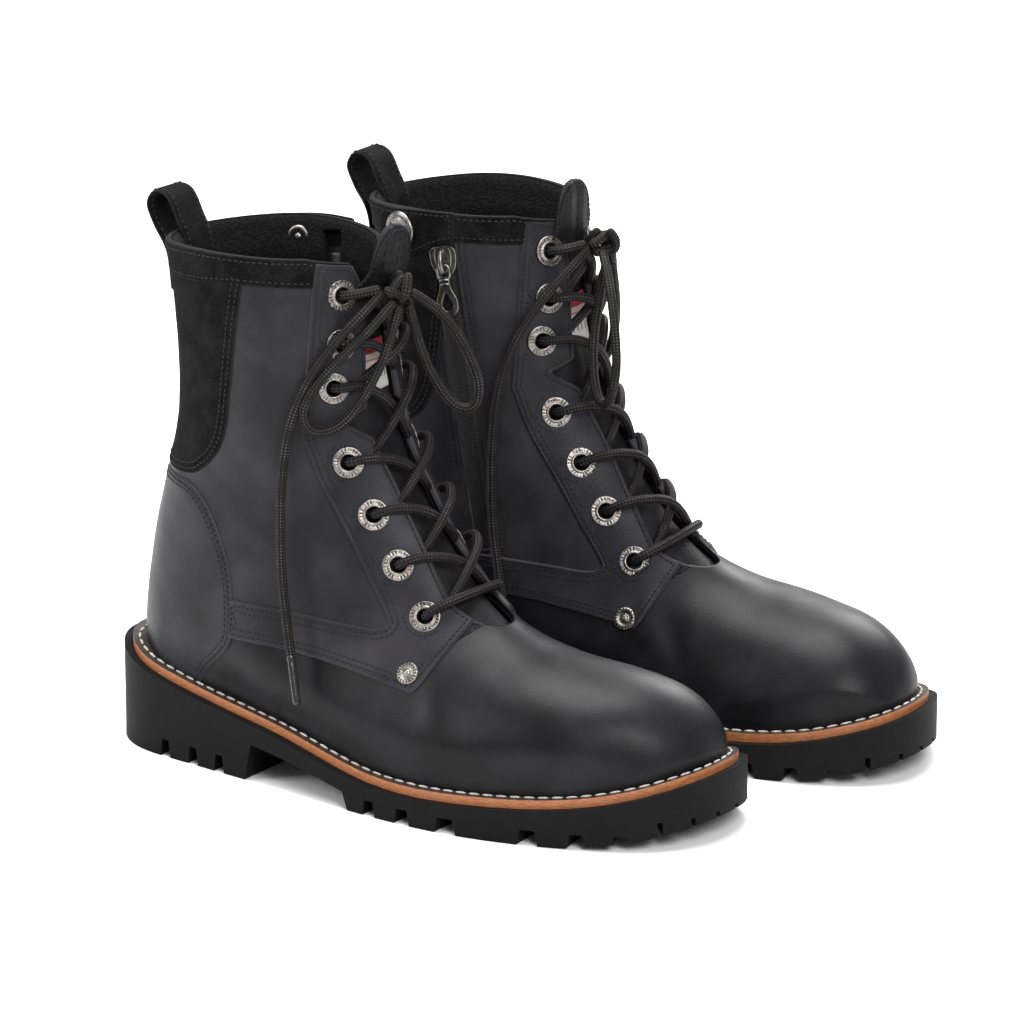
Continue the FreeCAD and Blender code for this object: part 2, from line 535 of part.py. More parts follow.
def make_zip():
    """The closed chain with its tapes, the slider, the hanging tab, and the cuts that they need."""
    top, bottom, along, normal = zip_frame()
    length = (bottom - top).Length

    def bar(start, run, width, low, high):
        box = Part.makeBox(run, width, high - low, Vector(start, -width / 2, low))
        return at_frame(box, top, along, normal)

    half_tape, half_teeth = TAPE_THICK / 2, TEETH_THICK / 2
    chain = bar(-6, length + 10, TAPE_WIDTH, -half_tape, half_tape)
    chain = chain.fuse(bar(0, length, TEETH_WIDTH, -half_teeth, half_teeth)).removeSplitter()
    # The two halves stand a hair apart as far as the slider's post travels.
    chain = biggest(chain.cut(bar(-7, ZIP_TRAVEL + 9, ZIP_POST + 0.4, -half_teeth - 1, half_teeth + 1)))
    cuts = {
        "leather": [bar(-14, length + 12, ZIP_SLOT, -9, 9), bar(-6, length + 10, TAPE_WIDTH, -9, half_tape)],
        "lining": [bar(-16, length + 16, ZIP_SLOT + 0.4, -2.9, 9),
                   bar(-6, length + 10, TAPE_WIDTH, -half_tape, 9)],
    }
    wide, long = SLIDER_SIZE
    inner_high, plate = half_teeth + 0.35, 1.1
    body = Part.makeBox(long, wide, 2 * (inner_high + plate), Vector(0, -wide / 2, -inner_high - plate))
    half_channel = TEETH_WIDTH / 2 + 0.4
    channel = Part.makeBox(long + 2, 2 * half_channel, 2 * inner_high, Vector(-1, -half_channel, -inner_high))
    tape_slit = Part.makeBox(long + 2, wide + 2, TAPE_THICK + 0.7,
                             Vector(-1, -wide / 2 - 1, -half_tape - 0.35))
    slider = body.cut([channel, tape_slit])
    # The channel and slit leave two plates; a post above the closed teeth joins them.
    crown = 3.6
    post = Part.makeBox(2.4, ZIP_POST, 2 * inner_high + 0.2,
                        Vector(-crown + 0.2, -ZIP_POST / 2, -inner_high - 0.1))
    bridge_top = inner_high + plate
    front = Part.makeBox(crown, wide, plate, Vector(-crown, -wide / 2, inner_high))
    back = Part.makeBox(crown, wide, plate, Vector(-crown, -wide / 2, -inner_high - plate))
    lug = Part.makeBox(5.0, 2.6, PIN_LIFT + 1.3, Vector(PIN_FROM_TOP - 2.5, -1.3, bridge_top))
    pin_height = bridge_top + PIN_LIFT
    eye = Part.makeCylinder(PIN_R + 0.25, 6, Vector(PIN_FROM_TOP, -3, pin_height), Vector(0, 1, 0))
    slider = slider.fuse([post, front, back, lug]).cut(eye).removeSplitter()

    tab = Part.makeCylinder(PIN_R, 5.0, Vector(PIN_FROM_TOP, -2.5, pin_height), Vector(0, 1, 0))
    arm_low = Vector(PIN_FROM_TOP - 0.6, -0.6, pin_height - PIN_R)
    arms = [Part.makeBox(6.5, 1.2, 2 * PIN_R, arm_low + Vector(0, side * 2.3, 0)) for side in (-1, 1)]
    end = PIN_FROM_TOP + PULL_TAB_LENGTH
    blade = prism([[(10.2, -3.0), (10.2, 3.0)], [(10.2, 3.0), (14.5, 3.3)],
                   [(14.5, 3.3), (20, 5.4), (24, 4.8)], [(24, 4.8), (end, 2.5)],
                   [(end, 2.5), (end, -2.5)], [(end, -2.5), (24, -4.8)],
                   [(24, -4.8), (20, -5.4), (14.5, -3.3)], [(14.5, -3.3), (10.2, -3.0)]],
                  "xy", pin_height - PIN_R, pin_height + PIN_R + 0.1)
    slot = Part.makeCylinder(1.5, 6, Vector(22.8, 0, pin_height - 3))
    tab = tab.fuse([*arms, blade]).cut(slot).removeSplitter()
    pin = top + along * PIN_FROM_TOP + normal * pin_height
    return {"chain": chain, "slider": at_frame(slider, top, along, normal),
            "pull": at_frame(tab, top, along, normal), "cuts": cuts,
            "pin": pin, "along": along, "normal": normal}


def make_pull_loop():
    """A leather strip over the back of the collar, sewn down outside and inside."""
    outside, _ = on_skin((0, 22, 206), -PULL_LOOP_THICK / 2 - 0.1)
    upper_out, _ = on_skin((0, 20, 224), -PULL_LOOP_THICK / 2 - 0.1)
    path = [outside, upper_out, Vector(0, 12.5, 236), Vector(0, 9, 245), Vector(0, 13, 251),
            Vector(0, 20, 249), Vector(0, 25.5, 239), Vector(0, 30, 229), Vector(0, 31.5, 212)]
    edge = Part.Wire([smooth_edge(path)])
    start = path[0]
    wide, thick = PULL_LOOP_WIDTH / 2, PULL_LOOP_THICK / 2
    corners = [(-wide, -thick), (wide, -thick), (wide, thick), (-wide, thick), (-wide, -thick)]
    section = Part.makePolygon([start + Vector(x, y, 0) for x, y in corners])
    return edge.makePipeShell([section], True, False, 1)


# ---------------------------------------------------------------- laces
def make_lacing():
    """The lace where the eyelets hold it: a bar, crossings over the tongue, and the two runs to the knot."""
    def spot(index, side, depth):
        x, y, z = EYELETS[index]
        return on_skin((side * x, y, z), depth)[0]

    def edge(index, side, depth, share=0.45):
        x, y, z = EYELETS[index]
        return on_skin((side * x * share, y + 4, z), depth)[0]

    strands = []
    over = -(OVERLAY_THICK + LACE_D / 2 + 0.6)
    strands.append([spot(0, 1, 1), spot(0, 1, over - 0.6), edge(0, 1, over - 1.5), edge(0, -1, over - 1.5),
                    spot(0, -1, over - 0.6), spot(0, -1, 1)])
    for index in range(1, 7):
        for side in (1, -1):
            lift = over - (1.0 if side > 0 else 5.6)
            here, there = Vector(*EYELETS[index]), Vector(*EYELETS[index - 1])
            middle, _ = on_skin((0, (here.y + there.y) / 2 + 6, here.z * 0.62 + there.z * 0.38), lift)
            tuck_near = edge(index - 1, -side, 1.2, 0.62)
            strands.append([spot(index, side, 1), spot(index, side, over), edge(index, side, lift + 0.8, 0.5),
                            middle, tuck_near])
    for side in (1, -1):
        strands.append([spot(6, side, 0.5), spot(6, side, over - 4.0), Vector(side * 8, 133.5, 222)])
    solids = []
    for strand in strands:
        points = [(p.x, p.y, p.z) for p in strand]
        solids.append(tube(points, LACE_D))
    return Part.makeCompound(solids)


def make_knot():
    knot = Part.makeSphere(1.0)
    stretch = FreeCAD.Matrix()
    stretch.scale(*KNOT_SIZE)
    knot = knot.transformGeometry(stretch)
    knot.translate(Vector(*KNOT_AT))
    return knot


def make_bow(side):
    pieces = {}
    for name, route in LACE_ROUTES[side].items():
        print("  ", side, name)
        solid = tube(route, LACE_D)
        if name.startswith("end"):
            tip, before = Vector(*route[-1]), Vector(*route[-2])
            direction = (tip - before).normalize()
            aglet = Part.makeCylinder(LACE_D / 2 - 0.2, AGLET_LENGTH, tip, direction)
            solid = solid.fuse(aglet).removeSplitter()
        pieces["lace_" + name] = solid
    return pieces


# ---------------------------------------------------------------- placing and writing
def place_right(shape):
    shape = shape.copy()
    shape.rotate(Vector(0, 0, 0), Vector(0, 0, 1), 180)
    shape.translate(Vector(RIGHT_AT[0], RIGHT_AT[1], 0))
    return shape


def place_left(shape, mirrored=True):
    if mirrored:
        shape = shape.mirror(Vector(0, 0, 0), Vector(1, 0, 0))
    else:
        shape = shape.copy()
    shape.rotate(Vector(0, 0, 0), Vector(0, 0, 1), LEFT_TURN)
    shape.translate(Vector(LEFT_STEP[0], LEFT_STEP[1], 0))
    return place_right(shape)


def main():
    os.makedirs("parts", exist_ok=True)
    upper = Upper()
    eyelets, eyelet_holes = make_eyelets()
    zip_parts = make_zip()
    shank = make_shank()
    pieces = make_leather(upper, eyelet_holes, zip_parts["cuts"], zip_parts["chain"])
    pieces["outsole"] = make_outsole()
    pieces["welt"] = make_welt()
    pieces["insole"] = make_insole(shank)
    pieces["shank"] = shank
    pieces["footbed"] = make_footbed(upper.inside)
    pieces["tongue"] = make_tongue(upper)
    pieces["eyelets"] = eyelets
    pieces["rivets"] = make_rivets()
    pieces["zip_chain"] = zip_parts["chain"]
    pieces["zip_slider"] = zip_parts["slider"]
    pieces["zip_pull"] = zip_parts["pull"]
    pieces["snap_flap"] = make_flap()
    pieces["snap_button"] = make_snap()
    pieces["pull_loop"] = make_pull_loop()
    pieces["lacing"] = make_lacing()
    pieces["lace_knot"] = make_knot()

    pair = {}
    for name, shape in pieces.items():
        pair[name + "_right"] = place_right(shape)
        pair[name + "_left"] = place_left(shape)
    for name, shape in make_bow("right").items():
        pair[name + "_right"] = place_right(shape)
    for name, shape in make_bow("left").items():
        pair[name + "_left"] = place_left(shape, mirrored=False)

    for name, shape in pair.items():
        shape.exportStep(f"parts/{name}.step")
        box = shape.optimalBoundingBox(True, False)
        print(f"{name:22s} valid {shape.isValid()} solids {len(shape.Solids)} volume {shape.Volume:9.0f} "
              f"x {box.XMin:7.1f} {box.XMax:7.1f} y {box.YMin:7.1f} {box.YMax:7.1f} "
              f"z {box.ZMin:6.1f} {box.ZMax:6.1f}")
    for side, place in (("right", place_right), ("left", place_left)):
        pin = place(Part.Vertex(zip_parts["pin"])).Point
        tip = place(Part.Vertex(zip_parts["pin"] + zip_parts["along"] * 10)).Point
        out = place(Part.Vertex(zip_parts["pin"] + zip_parts["normal"] * 10)).Point
        print(side, "pin", pin, "along", (tip - pin) * 0.1, "normal", (out - pin) * 0.1)
        hinge, _ = on_skin((-44, *FLAP_HINGE), -(FLAP_GAP + FLAP_THICK / 2))
        print(side, "flap hinge", place(Part.Vertex(hinge)).Point)
    boxes = [shape.optimalBoundingBox(True, False) for name, shape in pair.items() if "lac" not in name]
    print("without the laces: x", min(box.XMin for box in boxes), max(box.XMax for box in boxes),
          "y", min(box.YMin for box in boxes), max(box.YMax for box in boxes))


main()
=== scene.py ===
import math

import bmesh
import bpy
import numpy as np
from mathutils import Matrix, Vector
from mathutils.kdtree import KDTree


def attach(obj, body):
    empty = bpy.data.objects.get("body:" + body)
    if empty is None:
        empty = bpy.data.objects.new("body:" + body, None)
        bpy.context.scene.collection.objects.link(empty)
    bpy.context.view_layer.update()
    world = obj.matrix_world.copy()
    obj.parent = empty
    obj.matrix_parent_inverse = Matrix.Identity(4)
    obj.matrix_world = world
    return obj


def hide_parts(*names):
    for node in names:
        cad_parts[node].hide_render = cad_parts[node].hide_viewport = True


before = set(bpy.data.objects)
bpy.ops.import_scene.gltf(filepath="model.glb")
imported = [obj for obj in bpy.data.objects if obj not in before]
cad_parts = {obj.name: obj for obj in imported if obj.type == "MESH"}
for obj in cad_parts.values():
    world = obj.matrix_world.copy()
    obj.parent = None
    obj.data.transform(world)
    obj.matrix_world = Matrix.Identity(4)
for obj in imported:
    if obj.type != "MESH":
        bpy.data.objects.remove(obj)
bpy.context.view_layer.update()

# A pair of black lace-up leather boots with side zips and lugged rubber soles.
# Patterns are worked out in one boot's own frame, in millimetres: x towards the outer side, y from the heel
# towards the toe, z up. stand() takes them to the pair's frame, in metres.

MM = 0.001
SIDES = ("right", "left")

# ---------------------------------------------------------------- where each boot stands
RIGHT_AT = np.array((-62.6, 165.6))
LEFT_STEP = np.array((-113.0, 29.0))
LEFT_TURN = math.radians(3.5)


def turn(xy, angle):
    """Turns plan points or vectors by an angle."""
    c, s = math.cos(angle), math.sin(angle)
    return np.stack([xy[..., 0] * c - xy[..., 1] * s, xy[..., 0] * s + xy[..., 1] * c], -1)


def stand(points, side, mirrored=True, vectors=False):
    """Takes points or vectors of the boot's frame to the pair's frame. A left boot is mirrored unless told not to."""
    out = np.array(points, float)
    if side == "left":
        if mirrored:
            out[..., 0] *= -1
        out[..., :2] = turn(out[..., :2], LEFT_TURN)
        if not vectors:
            out[..., :2] += LEFT_STEP
    out[..., :2] *= -1
    if vectors:
        return out
    out[..., :2] += RIGHT_AT
    return out * MM


# ---------------------------------------------------------------- the shape of the upper
# Each ring: front point (y, z), back or bottom point (y, z), middle x, half widths, foot (1) or shaft (0).
RINGS = [
    (117, 266, 13, 262, 0, 43, 43, 0.0),
    (120, 245, 19, 245, 0, 44, 44, 0.0),
    (124, 222, 24, 220, 0, 44, 44, 0.0),
    (128, 198, 27, 192, 0, 43, 43, 0.0),
    (131, 174, 27, 164, 0, 42, 42, 0.0),
    (138, 152, 21, 136, 0, 41, 41, 0.0),
    (149, 132, 12, 110, 0, 41, 41, 0.0),
    (162, 114, 5, 84, 0, 41, 40, 0.0),
    (176, 98, 2, 58, 0, 42, 40, 0.1),
    (190, 85, 6, 30, 1, 45, 42, 0.35),
    (204, 76, 75, 18, 2, 50, 45, 0.7),
    (220, 71, 140, 8, 3, 54, 48, 0.95),
    (238, 69, 192, 4, 3, 55, 49, 1.0),
    (256, 67, 230, 3, 1, 52, 49, 1.0),
    (273, 63, 248, 3, -2, 47, 46, 1.0),
    (288, 54, 257, 2, -4, 41, 42, 1.0),
    (297, 42, 264, -1, -5, 36, 37, 1.0),
    (299, 27, 270, -6, -6, 30, 31, 1.0),
]
SHAFT_SECTION = [(0, 0), (0.038, 0.383), (0.146, 0.707), (0.309, 0.924), (0.5, 1),
                 (0.691, 0.924), (0.854, 0.707), (0.962, 0.383), (1, 0)]
FOOT_SECTION = [(0, 0), (0.04, 0.36), (0.16, 0.66), (0.36, 0.86), (0.6, 0.97),
                (0.82, 1), (0.97, 0.9), (1, 0.5), (1, 0)]
BED = [(-12, 53), (0, 49), (30, 41), (60, 35), (110, 27), (160, 17.5), (210, 17.5), (260, 22),
       (302, 33), (316, 38)]
WELT_EDGE = [(0, 1), (21, 5), (34.5, 21), (40, 46), (44, 75), (48, 105), (53.5, 139), (57.5, 174),
             (57.5, 204), (52.5, 233.5), (44.5, 260.5), (32, 284), (13, 298), (-7.5, 302),
             (-27, 296.5), (-40.5, 278.5), (-48, 252.5), (-50, 222), (-47, 190), (-43, 155),
             (-40, 120), (-39, 85), (-38, 50), (-34, 22), (-21.5, 4.5)]
RIM = [[(-20, 233), (20, 234), (60, 237), (108, 236)], [(108, 236), (122, 231), (129, 222)],
       [(129, 222), (150, 222)]]
COLLAR_LINE = [(-20, 221), (45, 221.5), (80, 224), (111, 223)]
BACK_PATCH_FRONT = [(84, 224), (80, 200), (76, 175), (71, 152), (60, 138), (42, 131), (-10, 131)]
COUNTER_EDGE = [(-10, 129), (36, 129), (50, 127), (60, 120), (68, 107), (73.5, 93), (75.5, 78),
                (76, 62), (70, 53), (58, 42), (50, 30)]
QUARTER_FOOT = [(75, 68), (110, 68), (145, 67), (165, 70), (182, 80), (196, 96)]
FACING_BACK = [[(111, 250), (110.5, 200), (109, 158)], [(109, 158), (117, 138), (130, 116), (143, 95)],
               [(143, 95), (152, 82), (153, 78), (147, 76.5)], [(147, 76.5), (110, 79), (74, 79.5)],
               [(74, 79.5), (74, 62)], [(74, 62), (110, 62), (141, 59), (174, 54.5)],
               [(174, 54.5), (178, 60), (186, 80), (190, 95)], [(190, 95), (190, 250)]]
THROAT = [[(17, 270), (16.5, 237), (11.5, 232.5), (8, 226), (7, 218), (8, 205), (12, 169)],
          [(12, 169), (23, 164)], [(23, 164), (12.5, 156)],
          [(12.5, 156), (10.5, 133), (12.5, 108), (16, 88)], [(16, 88), (14, 82), (8, 79.5), (0, 79)]]
TONGUE_TAB = [[(-30, 95), (-31, 190), (-27, 232)], [(-27, 232), (-22, 244), (-12, 250), (0, 251.5)],
              [(0, 251.5), (12, 250), (22, 244), (27, 232)], [(27, 232), (31, 190), (30, 95)],
              [(30, 95), (20, 78), (0, 72), (-20, 78), (-30, 95)]]
FLAP = [[(84.5, 236), (84.5, 225)], [(84.5, 225), (75, 221.5), (66, 217), (55, 213), (45, 216), (42, 226)],
        [(42, 226), (42.5, 232), (46, 236)], [(46, 236), (66, 237.5), (84.5, 237.5)]]
EYELETS = [(25, 168, 82.5), (22.5, 152, 103), (22.5, 139, 124), (24.3, 127, 146.5), (24.5, 119.5, 179),
           (20.5, 121, 198), (17.5, 119, 219)]
RIVET = (40, 170, 60.5)
SNAP_AT = (57, 227)
ZIP_TOP = (79.0, 218.0)
ZIP_BOTTOM = (100.0, 80.0)
ZIP_SLOT = 11.0
TAPE_WIDTH = 15.0
BASE_THICK = 1.8
OVERLAY_THICK = 1.3
LINING_DEPTH = 4.0
FEATHER_LEDGE = 5.0           # bare welt between the upper and the welt's edge
LACE_D = 4.4
AGLET_LENGTH = 22.0
KNOT_AT = np.array((0.0, 137.0, 222.0))

# The bow's loops and free ends, the same points as the CAD routes.
LACE_ROUTES = {
    "right": {
        "loop_outer": [(5, 139, 217), (15, 135, 207), (26, 126, 195), (36, 117, 181), (40, 112.5, 169),
                       (36, 116.5, 160), (28, 126, 163), (21, 133, 175), (14, 138, 190), (8, 140, 204),
                       (3, 140, 215)],
        "loop_inner": [(-5, 140, 219), (-13, 146, 213), (-21, 152, 202), (-27, 157, 188), (-31, 160, 174),
                       (-31, 157, 163), (-27, 150, 163), (-21, 144.5, 173), (-14, 141.5, 187),
                       (-8, 141, 201), (-3, 141, 213)],
        "end_outer": [(7, 134, 221), (17, 131, 213), (27, 123, 201), (35, 115.5, 187), (41, 109.5, 170),
                      (44.5, 107, 152), (46, 106, 133), (46.5, 106, 114), (48, 107.5, 96),
                      (50, 111, 79), (53.5, 116, 63)],
        "end_inner": [(-7, 134, 220), (-17, 132, 212), (-27, 124, 200), (-36, 114, 187), (-43, 105, 172),
                      (-47.5, 97, 156), (-49, 91.5, 138), (-48.5, 88, 120)],
    },
    "left": {
        "loop_outer": [(5, 140, 219), (12, 146, 213), (20, 153, 202), (27, 159, 187), (31, 162, 171),
                       (32, 159, 157), (29, 152.5, 154), (24, 146, 164), (17, 142, 180), (10, 141, 197),
                       (3, 141, 213)],
        "loop_inner": [(-5, 139, 217), (-15, 135, 207), (-26, 126, 194), (-36, 116, 180), (-42, 107.5, 166),
                       (-41, 107, 155), (-34, 117, 154), (-27, 127, 164), (-19, 134, 179), (-11, 138.5, 196),
                       (-4, 140, 212)],
        "end_outer": [(7, 134, 221), (17, 131, 213), (27, 123, 201), (35, 115.5, 187), (41, 109.5, 170),
                      (44.5, 107, 152), (46, 106, 133), (46.5, 106, 114), (48, 107.5, 96),
                      (50, 111, 79), (53.5, 116, 63)],
        "end_inner": [(-7, 134, 220), (-17, 132, 212), (-28, 123, 200), (-37, 113, 186), (-44, 103, 170),
                      (-47.5, 94, 152), (-48.5, 87.5, 133), (-48.5, 84, 114)],
    },
}


# ================================================================ shader maths
class Wire:
    """A value socket that takes part in Python sums; each operator adds a Math node."""

    def __init__(self, shader, socket):
        self.shader, self.socket = shader, socket

    def _math(self, operation, *others):
        return self.shader.node("ShaderNodeMath", {"operation": operation}, *others)

    def __add__(self, other): return self._math("ADD", self, other)
    def __radd__(self, other): return self._math("ADD", other, self)
    def __sub__(self, other): return self._math("SUBTRACT", self, other)
    def __rsub__(self, other): return self._math("SUBTRACT", other, self)
    def __mul__(self, other): return self._math("MULTIPLY", self, other)
    def __rmul__(self, other): return self._math("MULTIPLY", other, self)
    def sine(self): return self._math("SINE", self)
    def size(self): return self._math("ABSOLUTE", self)
    def less(self, other): return self._math("LESS_THAN", self, other)

    def ramp(self, low, high):
        """0 below low, 1 above high and smooth between them."""
        return self.shader.node("ShaderNodeMapRange", {"interpolation_type": "SMOOTHSTEP"},
                                **{"Value": self, "From Min": low, "From Max": high})

    def bell(self, centre, width):
        """1 at centre, fading to 0 at width either side."""
        return 1 - (self - centre).size().ramp(0.0, width)


class Finish:
    """One material: a Principled surface and the nodes that feed it."""

    def __init__(self, name):
        self.material = bpy.data.materials.new(name)
        self.material.use_nodes = True
        self.tree = self.material.node_tree
        self.surface = self.tree.nodes["Principled BSDF"]

    def node(self, kind, settings=None, *values, out=0, **named):
        node = self.tree.nodes.new(kind)
        for key, value in (settings or {}).items():
            setattr(node, key, value)
        for index, value in enumerate(values):
            self.feed(node.inputs[index], value)
        for key, value in named.items():
            self.feed(node.inputs[key], value)
        return Wire(self, node.outputs[out])

    def feed(self, socket, value):
        if isinstance(value, Wire):
            self.tree.links.new(value.socket, socket)
        else:
            socket.default_value = value

    def place(self, scale=(1, 1, 1)):
        """Object coordinates in millimetres, stretched by scale."""
        where = self.node("ShaderNodeTexCoord", out="Object")
        return self.node("ShaderNodeMapping", None, Vector=where, Scale=[s / MM for s in scale])

    def noise(self, size, detail=3.0, rough=0.5, scale=(1, 1, 1)):
        return self.node("ShaderNodeTexNoise", None, Vector=self.place(scale), Scale=1.0 / size,
                         Detail=detail, Roughness=rough)

    def cells(self, size, feature="F1", scale=(1, 1, 1)):
        return self.node("ShaderNodeTexVoronoi", {"feature": feature}, Vector=self.place(scale), Scale=1.0 / size)

    def attribute(self, name):
        return self.node("ShaderNodeAttribute", {"attribute_name": name}, out="Fac")

    def mix(self, share, first, second):
        node = self.tree.nodes.new("ShaderNodeMix")
        node.data_type = "RGBA"
        for key, value in ((0, share), (6, first), (7, second)):
            self.feed(node.inputs[key], value)
        return Wire(self, node.outputs[2])

    def set(self, **sockets):
        for key, value in sockets.items():
            self.feed(self.surface.inputs[key.replace("_", " ")], value)
        return self

    def bump(self, height, depth_mm):
        self.feed(self.surface.inputs["Normal"],
                  self.node("ShaderNodeBump", None, Strength=1.0, Distance=depth_mm * MM, Height=height))
        return self


def smooth_leather():
    """Oiled black leather: fine pebbled grain, soft mottled sheen, pressed seams and a painted highlight along the
    edges.
    """
    m = Finish("smooth_leather")
    edge = m.attribute("edge_mm")
    grain = m.cells(0.85)
    pores = m.cells(0.42)
    cloud = m.noise(26, 3)
    creases = m.noise(9, 5, 0.6, (1, 1.6, 0.7))
    # painted highlight: the colour is lightened within 0.8 mm of each panel's edge
    painted_edge_highlight = (1 - edge.ramp(0.0, 0.8)) * 0.8
    base = m.mix(cloud.ramp(0.35, 0.72), (0.0150, 0.0142, 0.0172, 1), (0.027, 0.0255, 0.0318, 1))
    m.set(Base_Color=m.mix(painted_edge_highlight, base, (0.045, 0.043, 0.049, 1)),
          Roughness=0.35 + 0.16 * m.noise(14, 4) - 0.05 * grain, Specular_IOR_Level=0.13)
    seam = edge.bell(2.0, 1.1) * m.attribute("sewn")
    m.bump(0.4 * grain + 0.18 * pores + 0.6 * creases - 1.3 * seam, 0.2)
    return m.material


def toe_leather():
    """The lasted vamp: tighter grain and a brushed polish that deepens towards the toe."""
    m = Finish("toe_leather")
    edge = m.attribute("edge_mm")
    grain = m.cells(0.75)
    cloud = m.noise(22, 3)
    base = m.mix(cloud.ramp(0.35, 0.7), (0.0050, 0.0048, 0.0056, 1), (0.0100, 0.0096, 0.0114, 1))
    m.set(Base_Color=base, Roughness=0.34 + 0.14 * m.noise(12, 4), Specular_IOR_Level=0.16)
    m.bump(0.3 * grain + 0.12 * m.cells(0.4) + 0.6 * m.noise(7, 5, 0.6) - 1.0 * (1 - edge.ramp(0.0, 1.2)), 0.12)
    return m.material


def suede():
    """Matt nubuck with a short nap that catches the light in patches."""
    m = Finish("suede")
    nap = m.noise(0.35, 4, 0.75)
    patches = m.noise(11, 4, 0.6)
    specks = m.noise(0.8, 2, 0.6)
    edge = m.attribute("edge_mm")
    tone = m.mix(patches.ramp(0.38, 0.66), (0.0035, 0.0035, 0.0036, 1), (0.0095, 0.0092, 0.0094, 1))
    tone = m.mix(specks.ramp(0.58, 0.72) * 0.5, tone, (0.035, 0.034, 0.035, 1))
    # painted highlight: the colour is lightened within 0.7 mm of the piece's edges
    tone = m.mix((1 - edge.ramp(0.0, 0.7)) * 0.5, tone, (0.03, 0.029, 0.03, 1))
    m.set(Base_Color=tone, Roughness=0.88 + 0.1 * nap, Specular_IOR_Level=0.06,
          Sheen_Weight=0.03, Sheen_Roughness=0.45, Sheen_Tint=(0.5, 0.5, 0.52, 1))
    m.bump(0.8 * nap + 0.5 * specks - 0.9 * edge.bell(2.0, 1.2) * m.attribute("sewn"), 0.3)
    return m.material


def tongue_leather():
    m = Finish("tongue_leather")
    x, z = m.attribute("tab_x"), m.attribute("tab_z")
    hole = (x * (2 * math.pi / 6.0)).sine().ramp(0.35, 0.7) * (z * (2 * math.pi / 5.4)).sine().ramp(-0.1, 0.3)
    hole = hole * z.ramp(222, 224) * (1 - z.ramp(244, 246)) * (1 - x.size().ramp(14, 16))
    tone = m.mix(m.noise(12, 3).ramp(0.35, 0.7), (0.0045, 0.0045, 0.005, 1), (0.009, 0.009, 0.0105, 1))
    # painted shade: the perforations are near-black dots standing in for holes that are not cut
    m.set(Base_Color=m.mix(hole * 0.9, tone, (0.0005, 0.0005, 0.0005, 1)),
          Roughness=0.5 + 0.15 * m.noise(8, 3), Specular_IOR_Level=0.14)
    m.bump(0.25 * m.cells(0.8) + 0.3 * m.noise(5, 4) - 1.5 * hole, 0.3)
    return m.material


def lining_textile():
    """Black warp-knit lining over foam."""
    m = Finish("lining_textile")
    knit = m.cells(1.1, "SMOOTH_F1")
    m.set(Base_Color=m.mix(knit.ramp(0.2, 0.7), (0.00372, 0.00372, 0.003844, 1), (0.00868, 0.00868, 0.00899, 1)),
          Roughness=0.93, Specular_IOR_Level=0.1)
    m.bump(knit, 0.4)
    return m.material


def sole_rubber():
    """Moulded rubber: matt, with faint flow mottling and a fine cast texture."""
    m = Finish("sole_rubber")
    fine = m.noise(0.5, 3, 0.7)
    mottled = m.noise(18, 4, 0.6)
    m.set(Base_Color=m.mix(mottled.ramp(0.35, 0.7), (0.00279, 0.00279, 0.002914, 1), (0.00465, 0.00465, 0.00496, 1)),
          Roughness=0.58 + 0.16 * mottled, Specular_IOR_Level=0.12)
    m.bump(0.7 * fine + 0.6 * m.noise(4, 3), 0.12)
    return m.material


def welt_leather():
    """A leather welt: waxed tan on its cut edge with faint layers, dark brown stain on top."""
    m = Finish("welt_leather")
    up = m.node("ShaderNodeSeparateXYZ", None, Vector=m.node("ShaderNodeNewGeometry", out="True Normal"), out="Z")
    top = up.ramp(0.4, 0.6)
    fibre = m.noise(1.2, 4, 0.6, (0.35, 0.35, 2.6))
    tan = m.mix(fibre.ramp(0.3, 0.7), (0.26, 0.082, 0.026, 1), (0.45, 0.17, 0.062, 1))
    dark = m.mix(m.noise(3, 3).ramp(0.3, 0.7), (0.012, 0.006, 0.004, 1), (0.035, 0.016, 0.009, 1))
    m.set(Base_Color=m.mix(top, tan, dark), Roughness=0.45 + 0.2 * fibre, Coat_Weight=0.15, Coat_Roughness=0.35)
    m.bump(fibre, 0.12)
    return m.material


def plain_board():
    m = Finish("insole_board")
    fibre = m.noise(0.8, 4, 0.7)
    m.set(Base_Color=m.mix(fibre, (0.22, 0.14, 0.08, 1), (0.4, 0.27, 0.16, 1)), Roughness=0.85)
    m.bump(fibre, 0.1)
    return m.material


def antique_nickel():
    """Plated fittings, dark in the recesses and bright on the worn high spots."""
    m = Finish("antique_nickel")
    tarnish = m.noise(2.6, 4, 0.6)
    scratch = m.noise(0.5, 3, 0.6)
    bright = (0.45 + 0.55 * tarnish.ramp(0.35, 0.62)) * m.attribute("worn").ramp(0.15, 0.9)
    m.set(Base_Color=m.mix(bright, (0.03, 0.026, 0.024, 1), (0.33, 0.3, 0.28, 1)),
          Metallic=1.0, Roughness=0.27 + 0.2 * tarnish)
    m.bump(scratch, 0.06)
    return m.material


def zip_metal():
    m = Finish("zip_metal")
    tarnish = m.noise(2.2, 5, 0.6)
    m.set(Base_Color=m.mix(tarnish.ramp(0.3, 0.7), (0.2, 0.18, 0.16, 1), (0.36, 0.33, 0.3, 1)),
          Metallic=1.0, Roughness=0.26 + 0.16 * tarnish)
    m.bump(m.noise(0.6, 3), 0.05)
    return m.material


def zip_tape():
    m = Finish("zip_tape")
    weave = m.cells(0.5, "F1", (1, 1, 0.5))
    m.set(Base_Color=m.mix(weave, (0.006, 0.006, 0.006, 1), (0.014, 0.014, 0.014, 1)), Roughness=0.85)
    m.bump(weave, 0.2)
    return m.material


